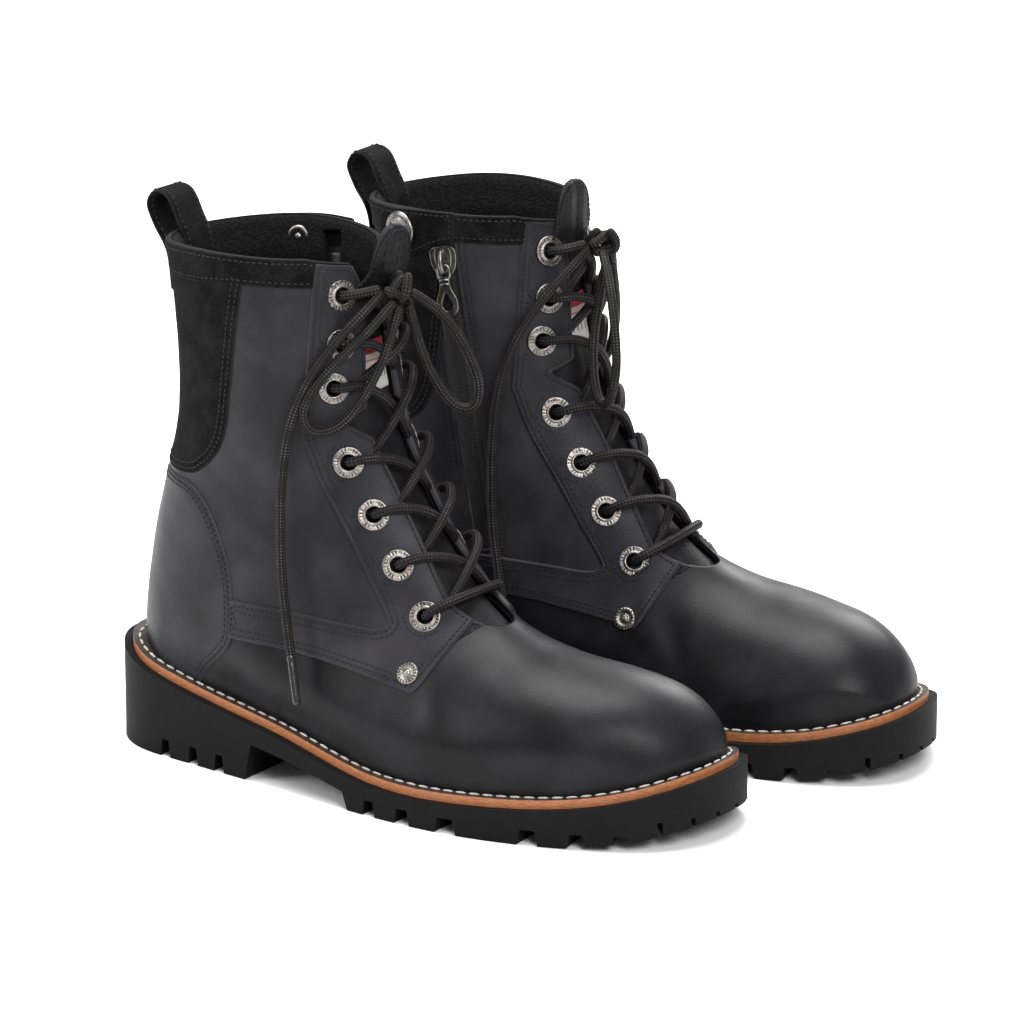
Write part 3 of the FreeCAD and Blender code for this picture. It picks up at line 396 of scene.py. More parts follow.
def waxed_lace():
    """Braided waxed cotton: painted shade darkens it to near black between the strands, and a grey painted highlight
    lies in patches on the strands' tops.
    """
    m = Finish("waxed_lace")
    high = m.attribute("strand")
    fibre = m.noise(0.25, 3, 0.6)
    highlight_patches = m.noise(9, 3, 0.6).ramp(0.4, 0.68)
    # painted shade: near black in the grooves between the strands, lighter on their tops
    tone = m.mix(high.ramp(0.2, 0.85), (0.0022, 0.0018, 0.0018, 1), (0.02, 0.0165, 0.0165, 1))
    # painted highlight: grey on the highest parts of the strands, in noise patches
    tone = m.mix(high.ramp(0.6, 0.95) * highlight_patches * 0.8, tone, (0.15, 0.14, 0.138, 1))
    m.set(Base_Color=tone, Roughness=0.5 + 0.2 * fibre, Specular_IOR_Level=0.14)
    m.bump(0.6 * high + 0.4 * fibre, 0.14)
    return m.material


def black_thread():
    m = Finish("black_thread")
    twist = m.noise(0.3, 2)
    m.set(Base_Color=m.mix(twist, (0.005, 0.005, 0.005, 1), (0.014, 0.014, 0.0145, 1)), Roughness=0.65,
          Specular_IOR_Level=0.3)
    return m.material


def welt_thread():
    m = Finish("welt_thread")
    twist = m.noise(0.5, 3)
    m.set(Base_Color=m.mix(twist.ramp(0.3, 0.7), (0.22, 0.2, 0.18, 1), (0.62, 0.6, 0.56, 1)), Roughness=0.7)
    m.bump(twist, 0.1)
    return m.material


def aglet_film():
    """The clear black film crimped round a lace's tip."""
    m = Finish("aglet_film")
    m.set(Base_Color=m.mix(m.noise(2, 2), (0.01, 0.01, 0.01, 1), (0.025, 0.025, 0.026, 1)), Roughness=0.18)
    m.bump(m.noise(1.5, 2), 0.08)
    return m.material


def woven_label():
    """A damask label: off-white field with a red head band and a grey check, no lettering."""
    m = Finish("woven_label")
    across, up = m.attribute("label_x"), m.attribute("label_z")
    threads = (across * 30).sine() * 0.5 + 0.5
    picks = (up * 26).sine() * 0.5 + 0.5
    field = m.mix(threads * picks * 0.5, (0.62, 0.58, 0.54, 1), (0.4, 0.37, 0.35, 1))
    red = m.mix(picks * 0.5, (0.42, 0.025, 0.03, 1), (0.25, 0.012, 0.016, 1))
    band = up.ramp(4.9, 5.1)
    stripe = up.bell(2.2, 0.9)
    tone = m.mix(band, field, red)
    bars = ((across * 1.9).sine().ramp(0.45, 0.6)) * (up + 4.5).size().less(1.6)
    tone = m.mix(stripe * 0.8, tone, (0.42, 0.025, 0.03, 1))
    tone = m.mix(bars * 0.75, tone, (0.05, 0.05, 0.052, 1))
    m.set(Base_Color=tone, Roughness=0.8)
    m.bump(threads * picks, 0.12)
    return m.material


def pale_floor():
    m = Finish("pale_floor")
    m.set(Base_Color=(0.93, 0.93, 0.93, 1), Roughness=0.9)
    return m.material


FINISHES = {make.__name__: make() for make in (
    smooth_leather, toe_leather, suede, tongue_leather, lining_textile, sole_rubber, welt_leather, plain_board,
    antique_nickel, zip_metal, zip_tape, waxed_lace, black_thread, welt_thread, aglet_film, woven_label, pale_floor)}

# ================================================================ outlines
def smooth_line(points, per_span=14):
    """A smooth line through the points, or the straight line through two."""
    p = np.array(points, float)
    if len(p) == 2:
        return p
    ends = np.vstack([2 * p[0] - p[1], p, 2 * p[-1] - p[-2]])
    t = np.linspace(0, 1, per_span, endpoint=False)[:, None]
    spans = []
    for a, b, c, d in zip(ends, ends[1:], ends[2:], ends[3:]):
        spans.append(0.5 * (2 * b + (c - a) * t + (2 * a - 5 * b + 4 * c - d) * t ** 2
                            + (3 * b - a - 3 * c + d) * t ** 3))
    return np.vstack([*spans, p[-1:]])


def outline(stretches):
    return np.vstack([smooth_line(stretch) for stretch in stretches])


def inside(points, polygon):
    """Signed distance of 2-D points to a closed polygon: positive inside."""
    a, b = polygon, np.roll(polygon, -1, 0)
    keep = np.linalg.norm(b - a, axis=1) > 1e-6
    a, b = a[keep], b[keep]
    best = np.full(len(points), 1e9)
    odd = np.zeros(len(points), bool)
    for start, end in zip(a, b):
        edge = end - start
        to = points - start
        t = np.clip((to @ edge) / (edge @ edge), 0, 1)
        away = to - t[:, None] * edge
        best = np.minimum(best, (away ** 2).sum(1))
        crosses = (start[1] > points[:, 1]) != (end[1] > points[:, 1])
        if edge[1] != 0:
            odd ^= crosses & (points[:, 0] < start[0] + (points[:, 1] - start[1]) / edge[1] * edge[0])
    return np.where(odd, 1, -1) * np.sqrt(best)


# ================================================================ the skin: a fine net over the upper
def clamped_weights(count, where, degree=3):
    knots = np.concatenate([np.zeros(degree), np.linspace(0, 1, count - degree + 1), np.ones(degree)])
    where = np.clip(where, 0, 1 - 1e-9)[:, None]
    weights = ((where >= knots[:-1]) & (where < knots[1:])).astype(float)
    for d in range(1, degree + 1):
        left, right = knots[:-d - 1], knots[1:-d]
        rise = np.divide(where - left, knots[d:-1] - left, out=np.zeros((len(where), len(left))),
                         where=knots[d:-1] > left)
        fall = np.divide(knots[d + 1:] - where, knots[d + 1:] - right, out=np.zeros((len(where), len(left))),
                         where=knots[d + 1:] > right)
        weights = rise * weights[:, :-1] + fall * weights[:, 1:]
    return weights


def round_weights(count, where):
    t = np.asarray(where) % 1 * count
    i = np.floor(t).astype(int)
    f = t - i
    spread = np.stack([(1 - f) ** 3, 3 * f ** 3 - 6 * f ** 2 + 4, -3 * f ** 3 + 3 * f ** 2 + 3 * f + 1, f ** 3], 1) / 6
    weights = np.zeros((len(t), count))
    for k in range(4):
        weights[np.arange(len(t)), (i + k - 1) % count] += spread[:, k]
    return weights


def ring_points(ring):
    """The sixteen control points of one ring."""
    front_y, front_z, back_y, back_z, middle, outer, inner, foot = ring
    points = []
    for step in range(16):
        index = step if step <= 8 else 16 - step
        down = (1 - foot) * SHAFT_SECTION[index][0] + foot * FOOT_SECTION[index][0]
        wide = (1 - foot) * SHAFT_SECTION[index][1] + foot * FOOT_SECTION[index][1]
        points.append((middle + (outer * wide if step <= 8 else -inner * wide),
                       front_y + (back_y - front_y) * down, front_z + (back_z - front_z) * down))
    return points


def unit(vectors):
    """The vectors at length 1."""
    return vectors / np.maximum(np.linalg.norm(vectors, axis=-1, keepdims=True), 1e-12)


def run_along(line):
    """How far along the line each of its points lies."""
    return np.concatenate([[0], np.cumsum(np.linalg.norm(np.diff(line, axis=0), axis=1))])


def resample(line, run, at):
    """The line's points at these distances along it."""
    return np.stack([np.interp(at, run, line[:, k]) for k in range(line.shape[1])], 1)


def tube_faces(index):
    """The faces between the rings of a net of point numbers, closed round each ring."""
    a, b = index[:-1], index[1:]
    return np.stack([a, np.roll(a, -1, 1), np.roll(b, -1, 1), b], -1).reshape(-1, 4)


def bar_faces(index):
    """The faces of a bar swept through a net of point numbers, with its two ends."""
    a, b = index[:-1], index[1:]
    quads = np.stack([a, b, np.roll(b, -1, 1), np.roll(a, -1, 1)], -1).reshape(-1, 4)
    return [*quads.tolist(), list(index[0]), list(index[-1][::-1])]


def add_object(name, data):
    """A new object with this data, in the scene."""
    obj = bpy.data.objects.new(name, data)
    bpy.context.scene.collection.objects.link(obj)
    return obj


class Skin:
    """The upper's outer surface as a fine net, with normals, triangles and the pattern's distance fields."""
    ROWS, COLUMNS = 284, 180

    def __init__(self):
        poles = np.array([ring_points(ring) for ring in RINGS], float)
        u = np.linspace(0, 1, self.ROWS)
        v = np.arange(self.COLUMNS) / self.COLUMNS
        grid = np.einsum("ai,bj,ijc->abc", clamped_weights(len(RINGS), u), round_weights(16, v), poles)
        self.du = np.gradient(grid, axis=0)
        self.dv = (np.roll(grid, -1, 1) - np.roll(grid, 1, 1)) / 2
        normal = unit(np.cross(self.du, self.dv))
        centre = grid.mean(1, keepdims=True)
        if ((grid - centre) * normal).sum() < 0:
            normal = -normal
        self.points = grid.reshape(-1, 3)
        self.normals = normal.reshape(-1, 3)
        index = np.arange(self.ROWS * self.COLUMNS).reshape(self.ROWS, self.COLUMNS)
        a, b = index[:-1], index[1:]
        c, d = np.roll(index, -1, 1)[1:], np.roll(index, -1, 1)[:-1]
        even = ((np.add.outer(np.arange(self.ROWS - 1), np.arange(self.COLUMNS))) % 2 == 0)[..., None]
        first = np.where(even, np.stack([a, b, c], -1), np.stack([a, b, d], -1))
        second = np.where(even, np.stack([a, c, d], -1), np.stack([b, c, d], -1))
        triangles = np.concatenate([first.reshape(-1, 3), second.reshape(-1, 3)])
        corner = self.points[triangles]
        facing = np.cross(corner[:, 1] - corner[:, 0], corner[:, 2] - corner[:, 0])
        flip = (facing * self.normals[triangles[:, 0]]).sum(1) < 0
        triangles[flip] = triangles[flip][:, ::-1]
        self.triangles = triangles

    def true_size(self, field):
        """Turns a field with a wrong slope into distances along the surface near its zero line."""
        grid = field.reshape(self.ROWS, self.COLUMNS)
        fu = np.gradient(grid, axis=0)
        fv = (np.roll(grid, -1, 1) - np.roll(grid, 1, 1)) / 2
        e, f, g = (self.du ** 2).sum(-1), (self.du * self.dv).sum(-1), (self.dv ** 2).sum(-1)
        slope = np.sqrt(np.maximum((g * fu ** 2 - 2 * f * fu * fv + e * fv ** 2) / (e * g - f ** 2), 1e-6))
        return field / np.clip(slope.ravel(), 0.35, 1.6)

    def near(self, point, depth=0.0):
        """The point of the surface nearest to point, moved inwards by depth, and the normal there."""
        point = np.array(point, float)
        i = int(((self.points - point) ** 2).sum(1).argmin())
        normal = self.normals[i]
        to = point - self.points[i]
        return self.points[i] + to - normal * (to @ normal) - normal * depth, normal


def tuck_in(skin):
    """Draws the skin in towards the feather line, so that the welt stands out all round the upper."""
    points = skin.points
    bed = smooth_line(BED)
    above = points[:, 2] - np.interp(points[:, 1], bed[:, 0], bed[:, 1])
    closed = np.array(WELT_EDGE + WELT_EDGE[:3], float)
    edge = smooth_line(closed, 10)
    ledge = inside(points[:, :2], edge[10:-20]) - FEATHER_LEDGE
    fade = 1 - np.clip((above - 3) / 27, 0, 1)
    pull = np.maximum(-ledge, 0) * fade ** 2 * (3 - 2 * fade)
    middle = np.column_stack([np.full(len(points), 2.0), np.clip(points[:, 1], 35, 255)])
    points[:, :2] += unit(middle - points[:, :2]) * pull[:, None]


skin = Skin()
tuck_in(skin)
P = skin.points
side_view, front_view = P[:, 1:], P[:, [0, 2]]


def below(line, floor=-60):
    """A side-view polygon of everything under a line that runs along y."""
    return np.vstack([line, [(line[-1][0], floor), (line[0][0], floor)]])


def side_field(polygon):
    """Distance inside a side-view polygon, along the surface."""
    return skin.true_size(inside(side_view, polygon))


throat_half = outline(THROAT)
throat_polygon = np.vstack([throat_half, throat_half[::-1] * (-1, 1)])
in_front = P[:, 1] > 95
FIELDS = {
    "rim": side_field(np.vstack([outline(RIM), [(400, 222), (400, -80), (-40, -80), (-40, 233)]])),
    "bed": -side_field(below(np.vstack([[(-40, 60)], smooth_line(BED), [(340, 46)]]))),
    "collar": side_field(np.vstack([[(-60, 221)], smooth_line(COLLAR_LINE), [(135, 222), (135, 300), (-60, 300)]])),
    "patch": side_field(np.vstack([smooth_line(BACK_PATCH_FRONT), [(-60, 131), (-60, 290), (86, 290)]])),
    "counter": side_field(np.vstack([[(-60, 129)], smooth_line(COUNTER_EDGE), [(50, -60), (-60, -60)]])),
    "shaft": side_field(np.vstack([[(-60, 68)], smooth_line(QUARTER_FOOT), [(230, 130), (230, 330), (-60, 330)]])),
    "facing": side_field(outline(FACING_BACK)),
    "throat": np.where(in_front, -skin.true_size(inside(front_view, throat_polygon)), 60.0),
    "outer": skin.true_size(P[:, 0].copy()),
    "flap": side_field(outline(FLAP)),
    "tongue": np.where(in_front, skin.true_size(inside(front_view, outline(TONGUE_TAB))), -60.0),
    "heel_stiffener": side_field(np.array([(-40, -20), (-40, 98), (40, 96), (62, 80), (68, 40), (68, -20)])),
}


def zip_frame():
    """The zip's top, its three directions and its length."""
    top, _ = skin.near((-44, *ZIP_TOP), BASE_THICK)
    bottom, _ = skin.near((-44, *ZIP_BOTTOM), BASE_THICK)
    along = unit(bottom - top)
    _, normal = skin.near((-44, (ZIP_TOP[0] + ZIP_BOTTOM[0]) / 2, (ZIP_TOP[1] + ZIP_BOTTOM[1]) / 2))
    normal = unit(normal - along * (normal @ along))
    return top, along, normal, np.cross(normal, along), float(np.linalg.norm(bottom - top))


zip_top, zip_along, zip_normal, zip_across, zip_length = zip_frame()
zip_s, zip_t = (P - zip_top) @ zip_along, (P - zip_top) @ zip_across
slot = np.maximum(np.abs(zip_t) - ZIP_SLOT / 2, np.maximum(-14 - zip_s, zip_s - (zip_length - 2)))
FIELDS["zip"] = np.where(P[:, 0] < 0, slot, 60.0)


def waves(seed, wavelength, points=P):
    """Smooth seeded noise of about unit height: a few crossed sine waves."""
    rng = np.random.default_rng(seed)
    total = np.zeros(len(points))
    for _ in range(7):
        direction = unit(rng.normal(size=3))
        total += np.sin(points @ direction * (2 * math.pi / (wavelength * rng.uniform(0.7, 1.5))) + rng.uniform(0, 6.28))
    return total / 3.0


def creases():
    """Leather that has been handled: soft hollows in the shaft and flex folds across the instep's sides."""
    y, z = P[:, 1], P[:, 2]
    ankle = np.exp(-((z - 118) / 38) ** 2)
    soft = 0.45 * waves(3, 46) + 0.22 * waves(5, 19) * (0.4 + ankle)
    warped = y + 0.55 * z + 3.0 * waves(8, 34)
    folds = np.sin(warped / 3.3) * np.exp(-((y - 188) / 15) ** 2) * np.exp(-((z - 52) / 17) ** 2)
    ankle_folds = np.sin((z - 0.35 * y + 2.5 * waves(11, 30)) / 3.6) * np.exp(-((z - 104) / 20) ** 2)
    ankle_folds *= np.exp(-((y - 92) / 26) ** 2)
    still = 1 - np.exp(-((y - 280) / 60) ** 2)
    handled = np.where(P[:, 0] < 0, 0.55, 0.14)
    return soft * (0.25 + 0.75 * still) + 1.5 * handled * folds + 0.2 * ankle_folds


SWELL = creases()


# ================================================================ meshes from the skin
def split_at(points, normals, extra, triangles, column, level):
    """Cuts the triangles along extra[:, column] == level, so that the line runs along edges."""
    value = extra[:, column] - level
    value = np.where(np.abs(value) < 1e-5, 1e-5, value)
    sign = value > 0
    s = sign[triangles]
    mixed = s.any(1) & ~s.all(1)
    whole, cut = triangles[~mixed], triangles[mixed]
    if not len(cut):
        return points, normals, extra, triangles
    s = sign[cut]
    lone = np.where(s.sum(1) == 1, s.argmax(1), (~s).argmax(1))
    rows = np.arange(len(cut))
    a, b, c = cut[rows, lone], cut[rows, (lone + 1) % 3], cut[rows, (lone + 2) % 3]
    pairs = np.sort(np.concatenate([np.stack([a, b], 1), np.stack([a, c], 1)]), 1)
    unique, back = np.unique(pairs, axis=0, return_inverse=True)
    back = back.ravel()
    i, j = unique[:, 0], unique[:, 1]
    t = (value[i] / (value[i] - value[j]))[:, None]
    ab, ac = back[:len(cut)] + len(points), back[len(cut):] + len(points)
    points = np.vstack([points, points[i] * (1 - t) + points[j] * t])
    normals = np.vstack([normals, unit(normals[i] * (1 - t) + normals[j] * t)])
    extra = np.vstack([extra, extra[i] * (1 - t) + extra[j] * t])
    extra[len(value):, column] = level
    parts = [whole, np.stack([a, ab, ac], 1), np.stack([ab, b, c], 1), np.stack([ab, c, ac], 1)]
    return points, normals, extra, np.concatenate(parts)


def mesh_object(name, points, faces, finish, attributes=None, smooth=True):
    mesh = bpy.data.meshes.new(name)
    mesh.from_pydata(points.tolist(), [], [list(face) for face in faces])
    mesh.validate()
    if smooth:
        mesh.shade_smooth()
    for key, values in (attributes or {}).items():
        layer = mesh.attributes.new(key, "FLOAT", "POINT")
        layer.data.foreach_set("value", np.asarray(values, np.float32))
    mesh.materials.append(FINISHES[finish])
    return add_object(name, mesh)


def placed_mesh(name, side, points, faces, finish, attributes=None, mirrored=True, smooth=True):
    faces = np.asarray(faces)
    if side == "left" and mirrored:
        faces = faces[:, ::-1]
    return mesh_object(name, stand(points, side, mirrored), faces, finish, attributes, smooth)


def declare(obj, body, slot_name, *nodes):
    if nodes:
        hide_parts(*nodes)
    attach(obj, body)
    return obj


class Panel:
    """A pattern piece: the part of the skin where its field is positive, with thickness and a rolled edge."""

    def __init__(self, parts, low, high, under=1.6, roll=1.0, swell=1.0, sewn=1.0, holes=(), free=()):
        """parts are fields that all have to be positive; those in free end hidden, so they get no rolled edge."""
        field = np.minimum.reduce([np.full(len(P), 60.0), *parts])
        for centre, radius in holes:
            field = np.minimum(field, np.linalg.norm(P - centre, axis=1) - radius)
        cover = np.minimum.reduce([np.full(len(P), 60.0), *free])
        self.field = np.minimum(field, cover)
        extra = np.stack([self.field, field, SWELL * swell], 1)
        near = (self.field[skin.triangles] > -8).any(1)
        points, normals, extra, triangles = split_at(P, skin.normals, extra, skin.triangles[near], 0, 0.0)
        triangles = triangles[(extra[triangles, 0] > -1e-4).all(1)]
        for level in (roll * 0.12, roll * 0.45, roll):
            points, normals, extra, triangles = split_at(points, normals, extra, triangles, 1, level)
        used, compact = np.unique(triangles, return_inverse=True)
        self.triangles = compact.reshape(-1, 3)
        self.base, self.normals, extra = points[used], normals[used], extra[used]
        self.edge = np.maximum(extra[:, 1], 0)
        t = np.clip(self.edge / roll, 0, 1)
        height = low + (high - low) * np.sqrt(1 - (1 - t) ** 2) + extra[:, 2]
        self.top = self.base + self.normals * height[:, None]
        self.bottom = self.base - self.normals * (under - extra[:, 2])[:, None]
        self.sewn, self.extra = sewn, extra

    def solid(self):
        count = len(self.top)
        edges = np.concatenate([self.triangles[:, [0, 1]], self.triangles[:, [1, 2]], self.triangles[:, [2, 0]]])
        key = np.sort(edges, 1)
        _, first, copies = np.unique(key, axis=0, return_index=True, return_counts=True)
        rim = edges[first[copies == 1]]
        walls = np.concatenate([np.stack([rim[:, 1], rim[:, 0], rim[:, 0] + count], 1),
                                np.stack([rim[:, 1], rim[:, 0] + count, rim[:, 1] + count], 1)])
        faces = np.concatenate([self.triangles, self.triangles[:, ::-1] + count, walls])
        return np.vstack([self.top, self.bottom]), faces

    def build(self, name, side, finish, **attributes):
        points, faces = self.solid()
        sewn = np.full(len(points), self.sewn)
        return placed_mesh(name, side, points, faces, finish,
                           {"edge_mm": np.concatenate([self.edge, self.edge]), "sewn": sewn, **attributes})

    def rows(self, distance, pitch, where=None, lift=0.12):
        """Points, directions and normals of a row of stitches that runs inside the edge at this distance."""
        value = self.extra[:, 1] - distance
        value = np.where(np.abs(value) < 1e-6, 1e-6, value)
        sign = value[self.triangles] > 0
        mixed = self.triangles[sign.any(1) & ~sign.all(1)]
        links, spots = {}, {}
        for triangle in mixed:
            keys = []
            for i, j in ((0, 1), (1, 2), (2, 0)):
                a, b = int(triangle[i]), int(triangle[j])
                if (value[a] > 0) != (value[b] > 0):
                    key = (min(a, b), max(a, b))
                    keys.append(key)
                    if key not in spots:
                        t = value[a] / (value[a] - value[b])
                        spots[key] = (self.top[a] * (1 - t) + self.top[b] * t,
                                      self.normals[a] * (1 - t) + self.normals[b] * t)
            if len(keys) == 2:
                links.setdefault(keys[0], []).append(keys[1])
                links.setdefault(keys[1], []).append(keys[0])
        out = []
        left = set(links)
        while left:
            ends = [key for key in left if len(links[key]) == 1]
            start = min(ends) if ends else min(left)
            chain, here, before = [start], start, None
            left.discard(start)
            while True:
                step = [key for key in links[here] if key != before and key in left]
                if not step:
                    break
                before, here = here, step[0]
                left.discard(here)
                chain.append(here)
            if not ends and len(chain) > 2:
                chain.append(start)
            line = np.array([spots[key][0] for key in chain])
            normals = np.array([spots[key][1] for key in chain])
            out += stitch_row(line, normals, pitch, lift)
        if where is not None:
            out = [item for item in out if where(item[0])]
        return out


def stitch_row(line, normals, pitch, lift=0.12):
    run = run_along(line)
    if run[-1] < 2 * pitch:
        return []
    count = max(int(run[-1] / pitch), 1)
    at = (np.arange(count) + 0.5) * run[-1] / count
    ahead, behind = resample(line, run, at + pitch * 0.3), resample(line, run, at - pitch * 0.3)
    out = unit(resample(normals, run, at))
    return list(zip(resample(line, run, at) + out * lift, unit(ahead - behind), out))


# ================================================================ geometry nodes: what repeats
class Graph:
    """A Geometry Nodes tree with named inputs."""

    def __init__(self, name, **inputs):
        self.tree = bpy.data.node_groups.new(name, "GeometryNodeTree")
        self.tree.interface.new_socket("Geometry", in_out="INPUT", socket_type="NodeSocketGeometry")
        for key, kind in inputs.items():
            self.tree.interface.new_socket(key, in_out="INPUT", socket_type=kind)
        self.tree.interface.new_socket("Geometry", in_out="OUTPUT", socket_type="NodeSocketGeometry")
        self.given = self.tree.nodes.new("NodeGroupInput")
        self.result = self.tree.nodes.new("NodeGroupOutput")

    def node(self, kind, settings=None, **sockets):
        node = self.tree.nodes.new(kind)
        for key, value in (settings or {}).items():
            setattr(node, key, value)
        for key, value in sockets.items():
            socket = node.inputs[key.replace("_", " ")]
            if isinstance(value, bpy.types.NodeSocket):
                self.tree.links.new(value, socket)
            else:
                socket.default_value = value
        return node

    def finish(self, geometry):
        real = self.node("GeometryNodeRealizeInstances", Geometry=geometry)
        coated = self.node("GeometryNodeSetMaterial", Geometry=real.outputs[0],
                           Material=self.given.outputs["Finish"])
        self.tree.links.new(coated.outputs[0], self.result.inputs[0])
        return self.tree


def along_rows_tree(name, block):
    """Instances a bead (or a rounded block) on every point, lying along "along" and standing up along "out"."""
    g = Graph(name, Length="NodeSocketFloat", Width="NodeSocketFloat", Height="NodeSocketFloat",
              Finish="NodeSocketMaterial")
    size = g.node("ShaderNodeCombineXYZ", X=g.given.outputs["Length"], Y=g.given.outputs["Width"],
                  Z=g.given.outputs["Height"])
    if block:
        shape = g.node("GeometryNodeMeshCube", Size=(1, 1, 1))
    else:
        shape = g.node("GeometryNodeMeshUVSphere", Segments=8, Rings=5, Radius=0.5)
    shape = g.node("GeometryNodeTransform", Geometry=shape.outputs[0], Scale=size.outputs[0])
    along = g.node("GeometryNodeInputNamedAttribute", {"data_type": "FLOAT_VECTOR"}, Name="along")
    out = g.node("GeometryNodeInputNamedAttribute", {"data_type": "FLOAT_VECTOR"}, Name="out")
    lie = g.node("FunctionNodeAlignRotationToVector", {"axis": "X"}, Vector=along.outputs[0])
    rise = g.node("FunctionNodeAlignRotationToVector", {"axis": "Z", "pivot_axis": "X"},
                  Rotation=lie.outputs[0], Vector=out.outputs[0])
    on = g.node("GeometryNodeInstanceOnPoints", Points=g.given.outputs["Geometry"], Instance=shape.outputs[0],
                Rotation=rise.outputs[0])
    smooth = g.node("GeometryNodeSetShadeSmooth", Geometry=on.outputs[0])
    return g.finish(smooth.outputs[0] if not block else on.outputs[0])


BEADS = along_rows_tree("stitch_rows", block=False)
BLOCKS = along_rows_tree("tooth_rows", block=True)


def grow(name, side, items, tree, finish, length, width, height, mirrored=True):
    """Runs a tree over stitches or teeth, each (spot, direction, normal), and keeps the plain mesh."""
    spots, along, out = (np.array(column) for column in zip(*items))
    mesh = bpy.data.meshes.new(name + "_points")
    mesh.from_pydata(stand(spots, side, mirrored).tolist(), [], [])
    for key, vectors in (("along", along), ("out", out)):
        layer = mesh.attributes.new(key, "FLOAT_VECTOR", "POINT")
        layer.data.foreach_set("vector", stand(vectors, side, mirrored, vectors=True).ravel())
    seed = add_object(name + "_points", mesh)
    modifier = seed.modifiers.new("rows", "NODES")
    modifier.node_group = tree
    values = {"Length": length * MM, "Width": width * MM, "Height": height * MM, "Finish": FINISHES[finish]}
    for item in tree.interface.items_tree:
        if item.item_type == "SOCKET" and item.in_out == "INPUT" and item.name in values:
            modifier[item.identifier] = values[item.name]
    grown = bpy.data.meshes.new_from_object(seed.evaluated_get(bpy.context.evaluated_depsgraph_get()))
    bpy.data.objects.remove(seed)
    grown.name = name
    return add_object(name, grown)


# ================================================================ cords
def spline_curve(name, points):
    """A NURBS curve with these control points, in metres."""
    curve = bpy.data.curves.new(name, "CURVE")
    curve.dimensions = "3D"
    curve.resolution_u = 12
    spline = curve.splines.new("NURBS")
    spline.points.add(len(points) - 1)
    for target, point in zip(spline.points, points):
        target.co = (*point, 1.0)
    spline.order_u = 3
    spline.use_endpoint_u = True
    return add_object(name, curve)


def centreline(points, step=0.5 * MM):
    """Evenly spaced points along the smooth curve that a route's control points make, in metres."""
    obj = spline_curve("route", points)
    mesh = bpy.data.meshes.new_from_object(obj)
    line = np.array([v.co[:] for v in mesh.vertices])
    bpy.data.objects.remove(obj)
    bpy.data.meshes.remove(mesh)
    run = run_along(line)
    at = np.linspace(0, run[-1], max(int(run[-1] / step), 8))
    return resample(line, run, at)


AROUND = 26
STRANDS = 4          # lobes of each of the two families of strands round the lace
LAY = 11.0 * MM       # length of one turn of a strand


def braid_tube(line, diameter, flat=1.0, phase=0.0):
    """A closed braided tube round a line: points, faces, and how high each point stands on its strand."""
    tangent = unit(np.gradient(line, axis=0))
    side = unit(np.cross(tangent[0], (0.3, 0.2, 0.9)))
    sides = []
    for t in tangent:
        side = unit(side - t * (side @ t))
        sides.append(side)
    sides = np.array(sides)
    ups = np.cross(tangent, sides)
    run = run_along(line)
    angle = np.linspace(0, 2 * math.pi, AROUND, endpoint=False)
    twist = 2 * math.pi * run[:, None] / LAY + phase
    one = np.cos(STRANDS * angle[None] + STRANDS * twist)
    other = np.cos(STRANDS * angle[None] - STRANDS * twist)
    high = 0.5 + 0.5 * one * other
    radius = diameter / 2 * (0.86 + 0.16 * high)
    end = np.minimum(run, run[-1] - run) / (diameter * 0.5)
    radius = radius * np.sqrt(1 - (1 - np.clip(end, 0, 1)) ** 2)[:, None].clip(0.15)
    ring = sides[:, None] * np.cos(angle)[None, :, None] + ups[:, None] * np.sin(angle)[None, :, None] * flat
    points = (line[:, None] + ring * radius[..., None]).reshape(-1, 3)
    index = np.arange(len(line) * AROUND).reshape(len(line), AROUND)
    faces = tube_faces(index)
    high = high.ravel()
    caps = len(points)
    points = np.vstack([points, line[0], line[-1]])
    high = np.concatenate([high, [0.5, 0.5]])
    first, final = index[0], index[-1]
    fans = [(caps, j, i) for i, j in zip(first, np.roll(first, -1))]
    fans += [(caps + 1, i, j) for i, j in zip(final, np.roll(final, -1))]
    return points, [*faces.tolist(), *fans], high


def braided(name, lines, diameter, flat=1.0):
    points, faces, high, start = [], [], [], 0
    for number, line in enumerate(lines):
        p, f, h = braid_tube(line, diameter, flat, phase=number * 0.9)
        points.append(p)
        faces += [[i + start for i in face] for face in f]
        high.append(h)
        start += len(p)
    return mesh_object(name, np.vstack(points), faces, "waxed_lace", {"strand": np.concatenate(high)})


def lacing_routes():
    """The lace where the eyelets hold it: a bar, crossings over the tongue, and two runs to the knot."""
    def spot(index, side, depth):
        x, y, z = EYELETS[index]
        return skin.near((side * x, y, z), depth)[0]

    def edge(index, side, depth, share=0.45):
        x, y, z = EYELETS[index]
        return skin.near((side * x * share, y + 4, z), depth)[0]

    over = -(OVERLAY_THICK + LACE_D / 2 + 0.6)
    routes = [[spot(0, 1, 1), spot(0, 1, over - 0.6), edge(0, 1, over - 1.5), edge(0, -1, over - 1.5),
               spot(0, -1, over - 0.6), spot(0, -1, 1)]]
    for index in range(1, 7):
        for side in (1, -1):
            lift = over - (1.0 if side > 0 else 5.6)
            here, there = np.array(EYELETS[index]), np.array(EYELETS[index - 1])
            middle, _ = skin.near((0, (here[1] + there[1]) / 2 + 6, here[2] * 0.62 + there[2] * 0.38), lift)
            routes.append([spot(index, side, 1), spot(index, side, over), edge(index, side, lift + 0.8, 0.5),
                           middle, edge(index - 1, -side, 1.2, 0.62)])
    for side in (1, -1):
        routes.append([spot(6, side, 0.5), spot(6, side, over - 4.0), np.array((side * 8, 133.5, 222))])
    return routes


